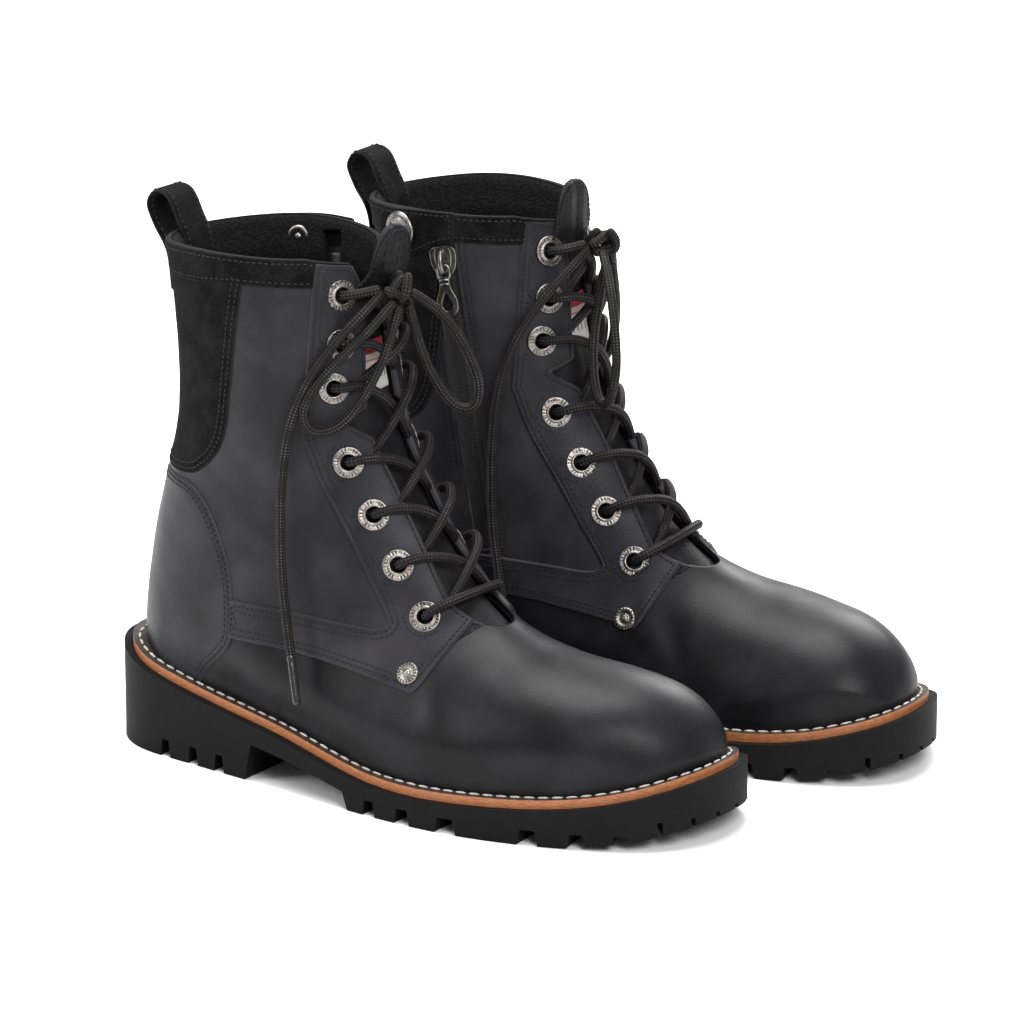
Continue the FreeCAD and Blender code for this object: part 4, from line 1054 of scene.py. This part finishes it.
def knot_routes():
    """A bow's knot: the wrap round the middle and the two crossed passes under it."""
    x, y, z = KNOT_AT
    wrap = [(x - 2, y + 4, z + 6), (x + 1, y + 6, z + 3), (x + 3, y + 6, z - 3), (x + 2, y + 2, z - 6),
            (x - 1, y - 3, z - 4), (x - 3, y - 4, z + 2), (x - 2, y, z + 6)]
    left = [(x - 8, y - 2, z - 1), (x - 5, y + 2, z + 2), (x, y + 2, z + 4), (x + 4, y + 1, z), (x + 7, y, z - 4)]
    right = [(x + 8, y - 2, z), (x + 5, y + 3, z - 2), (x, y + 2, z - 4), (x - 4, y + 1, z - 3), (x - 7, y, z - 5)]
    return [np.array(route, float) for route in (wrap, left, right)]


def make_laces(side):
    """The lacing, the knot, the bow and the free ends."""
    body = f"{side}_boot"
    lines = [centreline(stand(np.array(route), side)) for route in lacing_routes()]
    declare(braided(f"laced_crossings_{side}", lines, LACE_D * MM), body, "waxed_lace", f"lacing_{side}")
    lines = [centreline(stand(route, side)) for route in knot_routes()]
    declare(braided(f"bow_knot_{side}", lines, LACE_D * MM), body, "waxed_lace", f"lace_knot_{side}")
    for part, route in LACE_ROUTES[side].items():
        points = stand(np.array(route, float), side, mirrored=False)
        line = centreline(points)
        obj = braided(f"bow_{part}_{side}", [line], LACE_D * MM)
        declare(obj, body, "waxed_lace", f"lace_{part}_{side}")
        along = []
        if part.startswith("end"):
            along = [make_aglet(side, part, line)]


def make_aglet(side, part, line):
    """A crimped film sleeve round the lace's tip, a little flattened, with a dimple near its mouth."""
    direction = unit(line[-1] - line[-6])
    start = line[-1] - direction * 1.0 * MM
    along = np.concatenate([[0.0, 0.03, 0.08, 0.14, 0.2], np.linspace(0.26, 0.95, 8), [0.985, 1.0]])
    shape = np.array([0.9, 1.0, 0.98, 0.9, 0.96, *[0.96, 0.95, 0.94, 0.94, 0.93, 0.93, 0.92, 0.92], 0.85, 0.6])
    side_way = unit(np.cross(direction, (0.2, 0.9, 0.1)))
    other = np.cross(direction, side_way)
    angle = np.linspace(0, 2 * math.pi, 20, endpoint=False)
    radius = (LACE_D / 2 + 0.05) * MM
    rings = []
    for a, r in zip(along, shape):
        ring = side_way * np.cos(angle)[:, None] * 0.94 + other * np.sin(angle)[:, None] * 0.8
        rings.append(start + direction * a * AGLET_LENGTH * MM + ring * radius * r)
    points = np.vstack([*rings, start, start + direction * AGLET_LENGTH * MM])
    index = np.arange(len(along) * 20).reshape(len(along), 20)
    faces = tube_faces(index).tolist()
    caps = len(points) - 2
    faces += [(caps, j, i) for i, j in zip(index[0], np.roll(index[0], -1))]
    faces += [(caps + 1, i, j) for i, j in zip(index[-1], np.roll(index[-1], -1))]
    obj = mesh_object(f"aglet_{part}_{side}", points, faces, "aglet_film")
    return declare(obj, f"{side}_boot", "waxed_lace")


# ================================================================ the upper
def eyelet_holes(reach):
    """The eyelets' centres on the skin, each with this radius."""
    spots = [skin.near((side * x, y, z), 0)[0] for x, y, z in EYELETS for side in (1, -1)]
    return [(spot, reach) for spot in spots]


def make_upper():
    """The leather, suede and textile pattern pieces of one boot, as panels. Returns them by name."""
    f = FIELDS
    holes = eyelet_holes(4.15)
    outer_side, inner_side = f["outer"], -f["outer"]
    seam = 9.0                                           # how far a lower piece runs on under an upper one
    in_collar = f["collar"]
    panels = {
        "heel_counter": Panel([f["counter"]], 0.0, 0.85, roll=1.0, free=[f["bed"] + 3], swell=0.4),
        "vamp": Panel([f["throat"]], -0.3, 0.0, roll=1.0, swell=1.0,
                      free=[f["bed"] + 3, -f["shaft"] + seam, -f["counter"] + 4]),
        "collar_band": Panel([in_collar, f["rim"], f["throat"]], 0.1, 1.15, roll=0.9, swell=0.3, under=1.7),
        "back_patch": Panel([f["patch"]], 0.05, 0.75, roll=0.8, swell=0.8, under=0.0, free=[-in_collar + 4]),
        "quarter_outer": Panel([f["throat"]], -0.3, 0.0, roll=0.8, holes=holes,
                               free=[outer_side, f["shaft"] + 6, -f["counter"] + 5, -in_collar + 3]),
        "quarter_inner": Panel([f["throat"], f["zip"]], -0.5, 0.0, roll=1.0, holes=holes,
                               free=[inner_side, f["shaft"] + 6, -f["counter"] + 5, -in_collar + 3]),
        "facing_outer": Panel([f["facing"], f["throat"], f["rim"] - 0.8], 0.0, OVERLAY_THICK + 0.25, roll=1.1,
                              under=0.0, holes=holes, free=[outer_side, -f["counter"] + 3]),
        "facing_inner": Panel([f["facing"], f["throat"], f["rim"] - 0.8, f["zip"] - 2], 0.0,
                              OVERLAY_THICK + 0.25, roll=1.1, under=0.0, holes=holes,
                              free=[inner_side, -f["counter"] + 3]),
    }
    return panels


PANEL_FINISH = {"vamp": "toe_leather", "collar_band": "suede", "back_patch": "suede"}
PANEL_SLOT = {"collar_band": "suede", "back_patch": "suede"}

PANELS = make_upper()


def upper_stitches():
    """Every visible row of black stitches on one boot's upper."""
    p = PANELS
    rows = []
    rows += p["heel_counter"].rows(2.0, 2.6, lambda q: q[2] > 40)
    rows += p["heel_counter"].rows(4.4, 2.6, lambda q: q[2] > 40)
    rows += p["back_patch"].rows(2.2, 2.6)
    rows += p["back_patch"].rows(4.8, 2.6)
    rows += p["collar_band"].rows(2.2, 2.8)
    for name in ("facing_outer", "facing_inner"):
        rows += p[name].rows(2.2, 2.5)
        rows += p[name].rows(4.8, 2.5, lambda q: (q[2] < 160 and q[1] < 176 and abs(q[0]) > 27)
                             or (q[2] >= 160 and q[1] < 116))
    rows += p["quarter_inner"].rows(2.4, 2.4, near_zip)
    rows += p["quarter_inner"].rows(5.2, 2.4, near_zip)
    return rows


def near_zip(q):
    t = (q - zip_top) @ zip_across
    return abs(t) < 14 and q[0] < 0


def make_footings(side):
    """Lining, stiffener board and footbed."""
    f = FIELDS
    body = f"{side}_boot"
    depth_from_rim = np.clip(f["rim"], 0, 60)
    padding = 3.6 * np.exp(-((depth_from_rim - 17) / 11) ** 2) * np.clip((f["throat"] - 6) / 20, 0, 1)
    inner = LINING_DEPTH + padding * (P[:, 2] > 180)
    lining = Panel([f["rim"] - 0.4, f["throat"]], -BASE_THICK - 0.6, -BASE_THICK - 0.1, roll=1.2, swell=0.0,
                   holes=eyelet_holes(4.2), free=[f["bed"] + 1, f["zip"] - 0.4])
    # The inner face follows the padding: it is pulled inwards from the base by its own depth.
    index = nearest_rows(lining.base)
    shrink = np.clip(lining.edge / 3.0, 0, 1) ** 0.5
    depth = BASE_THICK + 0.3 + (inner[index] - BASE_THICK - 0.3) * shrink
    lining.bottom = lining.base - lining.normals * depth[:, None]
    board = Panel([np.maximum(f["heel_stiffener"], P[:, 1] - 248)], -2.6, -2.2, under=2.95, roll=0.8, swell=0.0,
                  free=[f["bed"] + 1])
    declare(board.build(f"toe_and_heel_board_{side}", side, "plain_board"), body, "stiffener_board",
            f"stiffeners_{side}")
    obj = lining.build(f"quarter_lining_{side}", side, "lining_textile")
    declare(obj, body, "lining_textile", f"lining_{side}")
    declare(make_footbed(side), body, "footbed_foam", f"footbed_{side}")


def nearest_rows(points):
    """For points cut out of the skin, the index of the skin's own point nearest to each."""
    tree = KDTree(len(P))
    for i, point in enumerate(P):
        tree.insert(point, i)
    tree.balance()
    return np.array([tree.find(point)[1] for point in points])


def bed_height(y):
    line = smooth_line(BED)
    return np.interp(y, line[:, 0], line[:, 1])


def welt_line(inward=0.0, count=720):
    """The welt's outer edge in plan, moved inwards, as an even closed line with its inward directions."""
    line = closed_line(WELT_EDGE, 40)
    closed = np.vstack([line, line[:1]])
    run = run_along(closed)
    even = resample(closed, run, np.linspace(0, run[-1], count, endpoint=False))
    tangent = unit(np.roll(even, -1, 0) - np.roll(even, 1, 0))
    inwards = np.stack([-tangent[:, 1], tangent[:, 0]], 1)
    return even + inwards * inward, tangent, inwards, run[-1]


def make_footbed(side):
    """The textile-covered insole: a soft dish that turns up at the heel and arch."""
    line, _, _, _ = welt_line(9.0, 160)
    centre_y = np.clip(line[:, 1], 30, 270)
    middle = np.stack([np.interp(centre_y, [30, 120, 200, 270], [0, 4, 3, -6]), centre_y], 1)
    rings, faces = [], []
    shares = np.linspace(1, 0.02, 14)
    for share in shares:
        xy = middle + (line - middle) * share
        rise = 4.0 + 3.2 * share ** 4
        rings.append(np.column_stack([xy, bed_height(xy[:, 1]) + rise]))
    points = np.vstack(rings)
    under = points.copy()
    under[:, 2] = bed_height(under[:, 1]) + 0.3
    index = np.arange(len(shares) * 160).reshape(len(shares), 160)
    quads = tube_faces(index)
    n = len(points)
    rim = np.stack([index[0], index[0] + n, np.roll(index[0], -1) + n, np.roll(index[0], -1)], 1)
    faces = [*quads.tolist(), *(quads[:, ::-1] + n).tolist(), *rim.tolist(),
             list(index[-1]), list((index[-1] + n)[::-1])]
    if side == "left":
        faces = [face[::-1] for face in faces]
    return mesh_object(f"foot_bed_{side}", stand(np.vstack([points, under]), side), faces, "lining_textile")


# ================================================================ tongue and label
TONGUE_LEAN = {"right": (17.0, -7.0), "left": (9.0, 0.0)}   # the tab's top: how far forward, and to which side
TAB_DROP = 0.17               # how far the leaning tab sinks, for each mm forward


def make_tongue(side):
    """The padded tongue: a bellows leaf under the facings that swells into a rounded, perforated tab."""
    body = f"{side}_boot"
    f = FIELDS
    rise = np.clip((P[:, 2] - 205) / 40, 0, 1)
    plump = 1.1 * np.exp(-((np.abs(P[:, 0]) - 9) / 8) ** 2) * np.clip((P[:, 2] - 90) / 40, 0, 1)
    panel = Panel([f["tongue"]], -6.2, -4.2, roll=2.2, under=7.2, swell=0.0)
    index = nearest_rows(panel.base)
    t = np.clip(panel.edge / 2.2, 0, 1)
    crown = np.sqrt(1 - (1 - t) ** 2)
    panel.top = panel.base + panel.normals * (-5.7 + (1.4 + plump[index]) * crown)[:, None]
    panel.bottom = panel.base + panel.normals * (-5.7 - 1.3 * crown)[:, None]
    # The tab is flatter and narrower than the leg it lies against, and the laces hold it forward.
    spread = np.clip((panel.base[:, 2] - 208) / 24, 0, 1)
    spread = spread ** 2 * (3 - 2 * spread)
    middle = panel.base[np.abs(panel.base[:, 0]) < 1.5]
    middle = middle[np.argsort(middle[:, 2])]
    front = np.interp(panel.base[:, 2], middle[:, 2], middle[:, 1])
    forward, sideways = TONGUE_LEAN[side]
    shift = (front - panel.base[:, 1]) * 0.85 * spread + forward * rise[index] ** 0.8
    for layer in (panel.top, panel.bottom):
        layer[:, 0] *= 1 - 0.36 * spread
        layer[:, 0] += sideways * spread
        layer[:, 1] += shift
        layer[:, 2] -= TAB_DROP * forward * rise[index]
    obj = panel.build(f"padded_tongue_{side}", side, "tongue_leather",
                      tab_x=np.tile(panel.base[:, 0], 2), tab_z=np.tile(panel.base[:, 2], 2))
    declare(obj, body, "tongue_leather", f"tongue_{side}")
    return panel.rows(3.0, 2.6, lambda q: q[2] > 214)


def make_label(side):
    """The woven label sewn across the tongue between the upper eyelets."""
    half_wide, half_tall, top_z = 8.0, 11.0, 186.0
    xs, zs = np.linspace(-half_wide, half_wide, 17), np.linspace(-half_tall, half_tall, 23)
    grid = []
    for z in zs:
        for x in xs:
            spot, normal = skin.near((x, 126, top_z + z), 0)
            spot = spot + np.array((0, 0, top_z + z - spot[2]))
            grid.append(spot + normal * (-2.5 + 0.12 * math.sin(x * 0.9 + z * 0.4)))
    points = np.array(grid)
    normal = np.array([skin.near(point, 0)[1] for point in points])
    both = np.vstack([points, points - normal * 0.5])
    wide, tall, n = len(xs), len(zs), len(points)
    index = np.arange(n).reshape(tall, wide)
    a, b, c, d = index[:-1, :-1], index[:-1, 1:], index[1:, 1:], index[1:, :-1]
    quads = np.stack([a, b, c, d], -1).reshape(-1, 4)
    loop = [*index[0], *index[1:, -1], *index[-1, -2::-1], *index[-2:0:-1, 0]]
    rim = [(i, i + n, j + n, j) for i, j in zip(loop, np.roll(loop, -1))]
    faces = [*quads.tolist(), *(quads[:, ::-1] + n).tolist(), *rim]
    corner = both[list(quads[0])]
    facing = np.cross(corner[1] - corner[0], corner[2] - corner[0])
    if (facing @ normal[0] < 0) != (side == "left"):
        faces = [face[::-1] for face in faces]
    across = np.tile(np.tile(xs, tall), 2)
    up = np.tile(np.repeat(zs, wide), 2)
    obj = mesh_object(f"tongue_label_{side}", stand(both, side), faces, "woven_label",
                      {"label_x": across, "label_z": up})
    return declare(obj, f"{side}_boot", "tongue_leather")


# ================================================================ flap, loop, zip
def make_flap(side):
    """The press-stud flap, attached to the snap flap's own body."""
    f = FIELDS
    panel = Panel([f["flap"], np.where(P[:, 0] < 0, 60.0, -60.0)], 0.55, 2.1, roll=0.8, under=-0.55, swell=0.3)
    obj = panel.build(f"stud_flap_{side}", side, "suede")
    declare(obj, f"{side}_snap_flap", "smooth_leather", f"snap_flap_{side}")
    return panel.rows(2.0, 2.6)


def make_pull_loop(side):
    """A folded suede strap over the back of the collar, its ends sewn inside and outside."""
    line = smooth_line([(22, 206), (19.5, 224), (12.5, 236), (9, 245), (13, 251), (20, 249), (25.5, 239), (30, 229),
                        (31.5, 212)], 10)
    start, _ = skin.near((0, 22, 206), -1.0)
    line[0] = start[1:]
    half_wide, half_thick = 10.0, 0.9
    tangent = unit(np.gradient(line, axis=0))
    normal = np.stack([-tangent[:, 1], tangent[:, 0]], 1)
    across = np.linspace(-1, 1, 13)
    section = [(x * half_wide, half_thick * (1 - 0.75 * abs(x) ** 8)) for x in across]
    section += [(x * half_wide, -half_thick * (1 - 0.75 * abs(x) ** 8)) for x in across[::-1]]
    points, count = [], len(section)
    for (y, z), (ny, nz) in zip(line, normal):
        for x, out in section:
            points.append((x, y + ny * out, z + nz * out))
    index = np.arange(len(points)).reshape(len(line), count)
    faces = bar_faces(index)
    points = np.array(points, float)
    edge = half_wide - np.abs(points[:, 0])
    obj = mesh_object(f"heel_pull_{side}", stand(points, side), faces, "suede",
                      {"edge_mm": edge, "sewn": np.ones(len(points))})
    recalculate(obj)
    declare(obj, f"{side}_boot", "suede", f"pull_loop_{side}")
    rows = []
    for x in (-7.6, 7.6):
        for face in (1, -1):
            path = np.column_stack([np.full(len(line), x), line + normal * (half_thick * face)])
            out = np.column_stack([np.zeros(len(line)), normal * face])
            rows += stitch_row(path, out, 2.8, 0.05)
    return rows


def recalculate(obj):
    """Turns a closed mesh's faces outwards."""
    mesh = bmesh.new()
    mesh.from_mesh(obj.data)
    bmesh.ops.remove_doubles(mesh, verts=mesh.verts, dist=1e-6)
    bmesh.ops.recalc_face_normals(mesh, faces=mesh.faces)
    mesh.to_mesh(obj.data)
    mesh.free()


def make_zip(side):
    """Woven tapes and two rows of meshed teeth on one boot's zip."""
    body = f"{side}_boot"
    half = TAPE_WIDTH / 2
    run = np.linspace(-6, zip_length + 4, 40)
    section = [(-half, -0.4), (-3.1, -0.45), (-2.7, -0.9), (2.7, -0.9), (3.1, -0.45), (half, -0.4),
               (half, 0.4), (3.1, 0.45), (2.6, 0.75), (0.35, 0.75), (0, 0.2), (-0.35, 0.75), (-2.6, 0.75), (-3.1, 0.45),
               (-half, 0.4)]
    points = [zip_top + zip_along * s + zip_across * t + zip_normal * n for s in run for t, n in section]
    index = np.arange(len(points)).reshape(len(run), len(section))
    faces = bar_faces(index)
    tape = mesh_object(f"zip_tape_{side}", stand(np.array(points), side), faces, "zip_tape", smooth=False)
    recalculate(tape)
    declare(tape, body, "zip_tape", f"zip_chain_{side}")
    pitch = 1.9
    items = []
    for k in range(int((zip_length - 3) / pitch)):
        s = 2 + k * pitch
        for hand in (1, -1):
            spot = zip_top + zip_along * (s + (0.5 if hand > 0 else 0) * pitch) + zip_across * hand * 1.15
            items.append((spot + zip_normal * 0.75, zip_across, zip_normal))
    teeth = grow(f"zip_teeth_{side}", side, items, BLOCKS, "zip_tape", 2.9, 0.78, 0.75)
    declare(teeth, body, "zip_tape")
    make_slider(side)


def closed_line(points, per=8):
    """An even smooth closed line through the points."""
    points = np.array(points, float)
    line = smooth_line(np.vstack([points[-3:], points, points[:4]]), per)
    return line[3 * per:3 * per + per * len(points)]


def mirrored_outline(points):
    """The outline with its other half: points run from one end of the x axis to the other."""
    return [*points, *[(x, -y) for x, y in points[-2:0:-1]]]


def casting(lines, thick=None, wire=None, lift=0.0):
    """Points and faces of a plate with rounded edges and holes, or of a bent wire."""
    curve = bpy.data.curves.new("casting", "CURVE")
    curve.dimensions = "2D" if thick else "3D"
    curve.bevel_depth, curve.bevel_resolution = (0.35, 3) if thick else (wire, 4)
    if thick:
        curve.fill_mode, curve.extrude, curve.offset = "BOTH", thick / 2 - 0.35, -0.35
    else:
        curve.use_fill_caps = True
    for line, closed in lines:
        spline = curve.splines.new("POLY")
        spline.points.add(len(line) - 1)
        spline.use_cyclic_u = closed
        for target, point in zip(spline.points, line):
            target.co = (*point, *([0.0] if len(point) == 2 else []), 1)
    holder = bpy.data.objects.new("casting", curve)
    mesh = bpy.data.meshes.new_from_object(holder)
    points = np.array([v.co[:] for v in mesh.vertices]) + (0, 0, lift)
    faces = [list(polygon.vertices) for polygon in mesh.polygons]
    bpy.data.objects.remove(holder)
    bpy.data.curves.remove(curve)
    bpy.data.meshes.remove(mesh)
    return points, faces


def cast_piece(name, side, node, parts):
    """Joins castings drawn in the zip's own frame: x down the chain, y across it, z outwards."""
    points, faces = [], []
    for part_points, part_faces in parts:
        start = sum(len(p) for p in points)
        points.append(part_points)
        faces += [[i + start for i in face] for face in part_faces]
    q = np.vstack(points)
    placed = zip_top + q[:, :1] * zip_along + q[:, 1:2] * zip_across + q[:, 2:] * zip_normal
    obj = mesh_object(name, stand(placed, side), faces, "zip_metal")
    recalculate(obj)
    return declare(obj, f"{side}_{node.rsplit('_', 1)[0]}", "zip_metal", node)


PIN_HIGH = 4.35               # how high the pull lies over the zip's plane


def make_slider(side):
    """The slider's two plates, post and bail, and the tab that hangs from the bail."""
    shield = closed_line(mirrored_outline([(-3.6, 0), (-3.3, 4.2), (-1.2, 6.3), (3.5, 6.2), (7.4, 4.9), (9.5, 2.8),
                                           (9.7, 0)]))
    post = closed_line([(-3.3, 0), (-2.1, 0.6), (-1.0, 0), (-2.1, -0.6)])
    bail = smooth_line(np.array([(-1.6, 0, 2.2), (-0.6, 0, 4.4), (1.8, 0, 5.9), (5.2, 0, 6.2), (7.8, 0, 4.9),
                                 (8.6, 0, 2.2)]), 8)
    rib = smooth_line(np.array([(-2.6, 3.4, 2.45), (1.5, 3.9, 2.6), (6.5, 2.6, 2.45)]), 8)
    parts = [casting([(shield, True)], thick=1.1, lift=2.2), casting([(shield, True)], thick=1.1, lift=-2.2),
             casting([(post, True)], thick=4.4), casting([(bail, False)], wire=0.95),
             casting([(rib, False), (rib * (1, -1, 1), False)], wire=0.4)]
    cast_piece(f"slider_castings_{side}", side, f"zip_slider_{side}", parts)
    ring = closed_line([(4.9, 0, 0), (5.2, 2.2, 0), (7.5, 2.9, 0), (10.4, 2.3, 0), (10.4, -2.3, 0), (7.5, -2.9, 0),
                        (5.2, -2.2, 0)])
    tab = closed_line(mirrored_outline([(9.9, 0), (10.2, 2.5), (13.0, 2.4), (16.5, 3.3), (20.5, 5.0), (24.5, 5.0),
                                        (27.3, 3.3), (28.2, 0)]))
    drop = closed_line(mirrored_outline([(17.2, 0), (19.6, 1.7), (22.6, 2.7), (25.0, 1.9), (25.9, 0)]))
    ridges = [([(x, -2.2, 0.75), (x, 2.2, 0.75)], False) for x in (11.2, 13.2)]
    parts = [casting([(ring, True)], wire=0.65, lift=PIN_HIGH), casting(ridges, wire=0.45, lift=PIN_HIGH),
             casting([(tab, True), (drop[::-1], True)], thick=1.5, lift=PIN_HIGH)]
    cast_piece(f"pull_castings_{side}", side, f"zip_pull_{side}", parts)


# ================================================================ turned metal fittings
def lathe(profile, teeth=0, tooth_from=0.0, tooth_to=0.0, tooth_depth=0.0, around=72):
    """A closed profile (radius, height) turned round z; between two radii, radial ticks are pressed into it."""
    profile = np.array(profile, float)
    angle = np.linspace(0, 2 * math.pi, around, endpoint=False)
    points, worn = [], []
    for radius, height in profile:
        ticked = teeth and tooth_from <= radius <= tooth_to and height > 0.2
        dip = tooth_depth * (0.5 + 0.5 * np.cos(teeth * angle)) ** 4 if ticked else np.zeros(around)
        points.append(np.column_stack([radius * np.cos(angle), radius * np.sin(angle), height - dip]))
        worn.append(1 - dip / tooth_depth if ticked else np.full(around, 0.85))
    index = np.arange(len(profile) * around).reshape(len(profile), around)
    a, b = index, np.roll(index, -1, 0)
    faces = np.stack([a, np.roll(a, -1, 1), np.roll(b, -1, 1), b], -1).reshape(-1, 4)
    return np.vstack(points), faces, np.concatenate(worn)


EYELET_PROFILE = [(3.35, -4.2), (3.35, 0.2), (3.5, 0.75), (3.9, 1.05), (4.3, 1.0), (4.6, 0.72), (4.9, 0.62),
                  (5.3, 0.66), (5.8, 0.7), (6.2, 0.66), (6.5, 0.62), (6.75, 0.5), (6.95, 0.25), (7.0, -0.1),
                  (4.1, -0.15), (4.05, -4.2)]
RIVET_PROFILE = [(0.02, 1.75), (0.7, 1.7), (1.3, 1.4), (1.7, 0.8), (1.9, 0.45), (2.7, 0.4), (3.0, 0.75), (3.4, 1.15),
                 (4.0, 1.3), (4.6, 1.15), (5.0, 0.75), (5.2, 0.2), (5.2, -0.1), (0.02, -0.1)]
STUD_PROFILE = [(0.02, 2.5), (1.0, 2.48), (1.9, 2.3), (2.2, 2.05), (2.5, 2.0), (3.0, 2.05), (3.6, 2.1), (4.2, 2.0),
                (4.6, 1.85), (4.85, 1.95), (5.1, 2.2), (5.4, 2.25), (5.7, 2.1), (5.9, 1.75), (6.4, 1.7), (7.0, 1.7),
                (7.5, 1.6), (7.9, 1.4), (8.3, 1.0), (8.5, 0.5), (8.4, 0.0), (0.02, 0.0)]


def set_fittings(name, side, spots, profile, finish="antique_nickel", **ticks):
    """One mesh of the same turned fitting at every (centre, normal)."""
    shape, faces, worn = lathe(profile, **ticks)
    all_points, all_faces, all_worn = [], [], []
    for centre, normal in spots:
        x_axis = unit(np.cross((0.1, 0.2, 1.0), normal))
        y_axis = np.cross(normal, x_axis)
        all_faces.append(faces + len(shape) * len(all_points))
        all_points.append(centre + shape[:, :1] * x_axis + shape[:, 1:2] * y_axis + shape[:, 2:] * normal)
        all_worn.append(worn)
    obj = placed_mesh(name, side, np.vstack(all_points), np.vstack(all_faces), finish,
                      {"worn": np.concatenate(all_worn)})
    recalculate(obj)
    return obj


def make_fittings(side):
    """Eyelets, rivets and the press stud."""
    body = f"{side}_boot"
    above = -OVERLAY_THICK - 0.15
    spots = [skin.near((s * x, y, z), above) for x, y, z in EYELETS for s in (1, -1)]
    obj = set_fittings(f"eyelet_rings_{side}", side, spots, EYELET_PROFILE, teeth=26, tooth_from=4.8, tooth_to=6.3,
                       tooth_depth=0.28)
    declare(obj, body, "antique_nickel", f"eyelets_{side}")
    spots = [skin.near((s * RIVET[0], RIVET[1], RIVET[2]), above) for s in (1, -1)]
    obj = set_fittings(f"rivet_caps_{side}", side, spots, RIVET_PROFILE, teeth=18, tooth_from=3.3, tooth_to=4.7,
                       tooth_depth=0.2, around=54)
    declare(obj, body, "antique_nickel", f"rivets_{side}")
    centre, normal = skin.near((-43, *SNAP_AT), -2.2)
    obj = set_fittings(f"stud_cap_{side}", side, [(centre, normal)], STUD_PROFILE, teeth=32, tooth_from=6.3,
                       tooth_to=7.3, tooth_depth=0.35, around=128)
    declare(obj, f"{side}_snap_flap", "antique_nickel", f"snap_button_{side}")
    inner, normal = skin.near((-43, *SNAP_AT), LINING_DEPTH + 1.2)
    obj = set_fittings(f"stud_washer_{side}", side, [(inner, -normal)], RIVET_PROFILE, around=54)
    declare(obj, body, "antique_nickel")


# ================================================================ sole details
def make_welt_stitches(side):
    """The heavy lockstitch that lies in the welt's top, a few millimetres in from its edge."""
    line, tangent, inwards, length = welt_line(3.2)
    z = bed_height(line[:, 1])
    slope = (bed_height(line[:, 1] + 0.5) - bed_height(line[:, 1] - 0.5))
    path = np.column_stack([line, z])
    normal = unit(np.column_stack([np.zeros(len(line)), -slope, np.ones(len(line))]))
    items = stitch_row(np.vstack([path, path[:1]]), np.vstack([normal, normal[:1]]), 6.4, 0.25)
    obj = grow(f"welt_stitches_{side}", side, items, BEADS, "welt_thread", 5.4, 1.35, 1.0)
    declare(obj, f"{side}_boot", "welt_leather")


# ================================================================ CAD pieces that stay
KEPT_FINISH = {"outsole": "sole_rubber", "welt": "welt_leather", "insole": "plain_board", "shank": "zip_metal"}


def finish_kept(side):
    """Gives the CAD pieces that stay their finishes."""
    for piece, finish in KEPT_FINISH.items():
        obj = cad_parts[f"{piece}_{side}"]
        obj.data.materials.clear()
        obj.data.materials.append(FINISHES[finish])


# ================================================================ putting it together
STITCH_SIZE = (2.0, 0.75, 0.62)


def make_boot(side):
    body = f"{side}_boot"
    for name, panel in PANELS.items():
        finish = PANEL_FINISH.get(name, "smooth_leather")
        obj = panel.build(f"{name}_leather_{side}", side, finish)
        declare(obj, body, PANEL_SLOT.get(name, "smooth_leather"), f"{name}_{side}")
    make_footings(side)
    tongue_rows = make_tongue(side)
    make_label(side)
    flap_rows = make_flap(side)
    rows = upper_stitches() + tongue_rows + make_pull_loop(side)
    threads = grow(f"upper_stitches_{side}", side, rows, BEADS, "black_thread", *STITCH_SIZE)
    declare(threads, body, "smooth_leather")
    threads = grow(f"flap_stitches_{side}", side, flap_rows, BEADS, "black_thread", *STITCH_SIZE)
    declare(threads, f"{side}_snap_flap", "smooth_leather")
    make_zip(side)
    make_fittings(side)
    make_welt_stitches(side)
    make_laces(side)
    finish_kept(side)


# ================================================================ studio
def make_studio():
    floor = bpy.data.meshes.new("floor")
    floor.from_pydata([(-6, -6, 0), (6, -6, 0), (6, 6, 0), (-6, 6, 0)], [], [(0, 1, 2, 3)])
    floor.materials.append(FINISHES["pale_floor"])
    floor = add_object("floor", floor)
    world = bpy.data.worlds.new("studio")
    world.use_nodes = True
    world.node_tree.nodes["Background"].inputs["Color"].default_value = (1, 1, 1, 1)
    world.node_tree.nodes["Background"].inputs["Strength"].default_value = 0.36
    bpy.context.scene.world = world
    target = Vector((-0.03865, -0.0154, 0.11))

    def lamp(name, place, size, power):
        light = bpy.data.lights.new(name, "AREA")
        light.shape, light.size, light.energy = "SQUARE", size, power
        obj = bpy.data.objects.new(name, light)
        obj.location = place
        obj.rotation_euler = (target - Vector(place)).to_track_quat("-Z", "Y").to_euler()
        bpy.context.scene.collection.objects.link(obj)

    lamp("key_softbox", (-1.1, -1.5, 1.5), 1.0, 40)
    lamp("top_softbox", (0.2, 0.3, 1.9), 1.3, 60)
    lamp("rim_softbox", (1.5, 0.2, 0.9), 0.7, 16)
    lamp("back_softbox", (-1.2, 1.3, 1.0), 0.8, 16)

    camera = bpy.data.cameras.new("camera")
    camera.sensor_width = 36.0
    camera.lens = 193.1
    obj = bpy.data.objects.new("camera", camera)
    obj.location = (-1.9837, -1.2856, 0.7891)
    aim = Vector((-0.03865, -0.0154, 0.1208)) - obj.location
    obj.rotation_euler = aim.to_track_quat("-Z", "Y").to_euler()
    bpy.context.scene.collection.objects.link(obj)
    bpy.context.scene.camera = obj
    bpy.context.scene.view_settings.view_transform = "Standard"


for side in SIDES:
    make_boot(side)
make_studio()
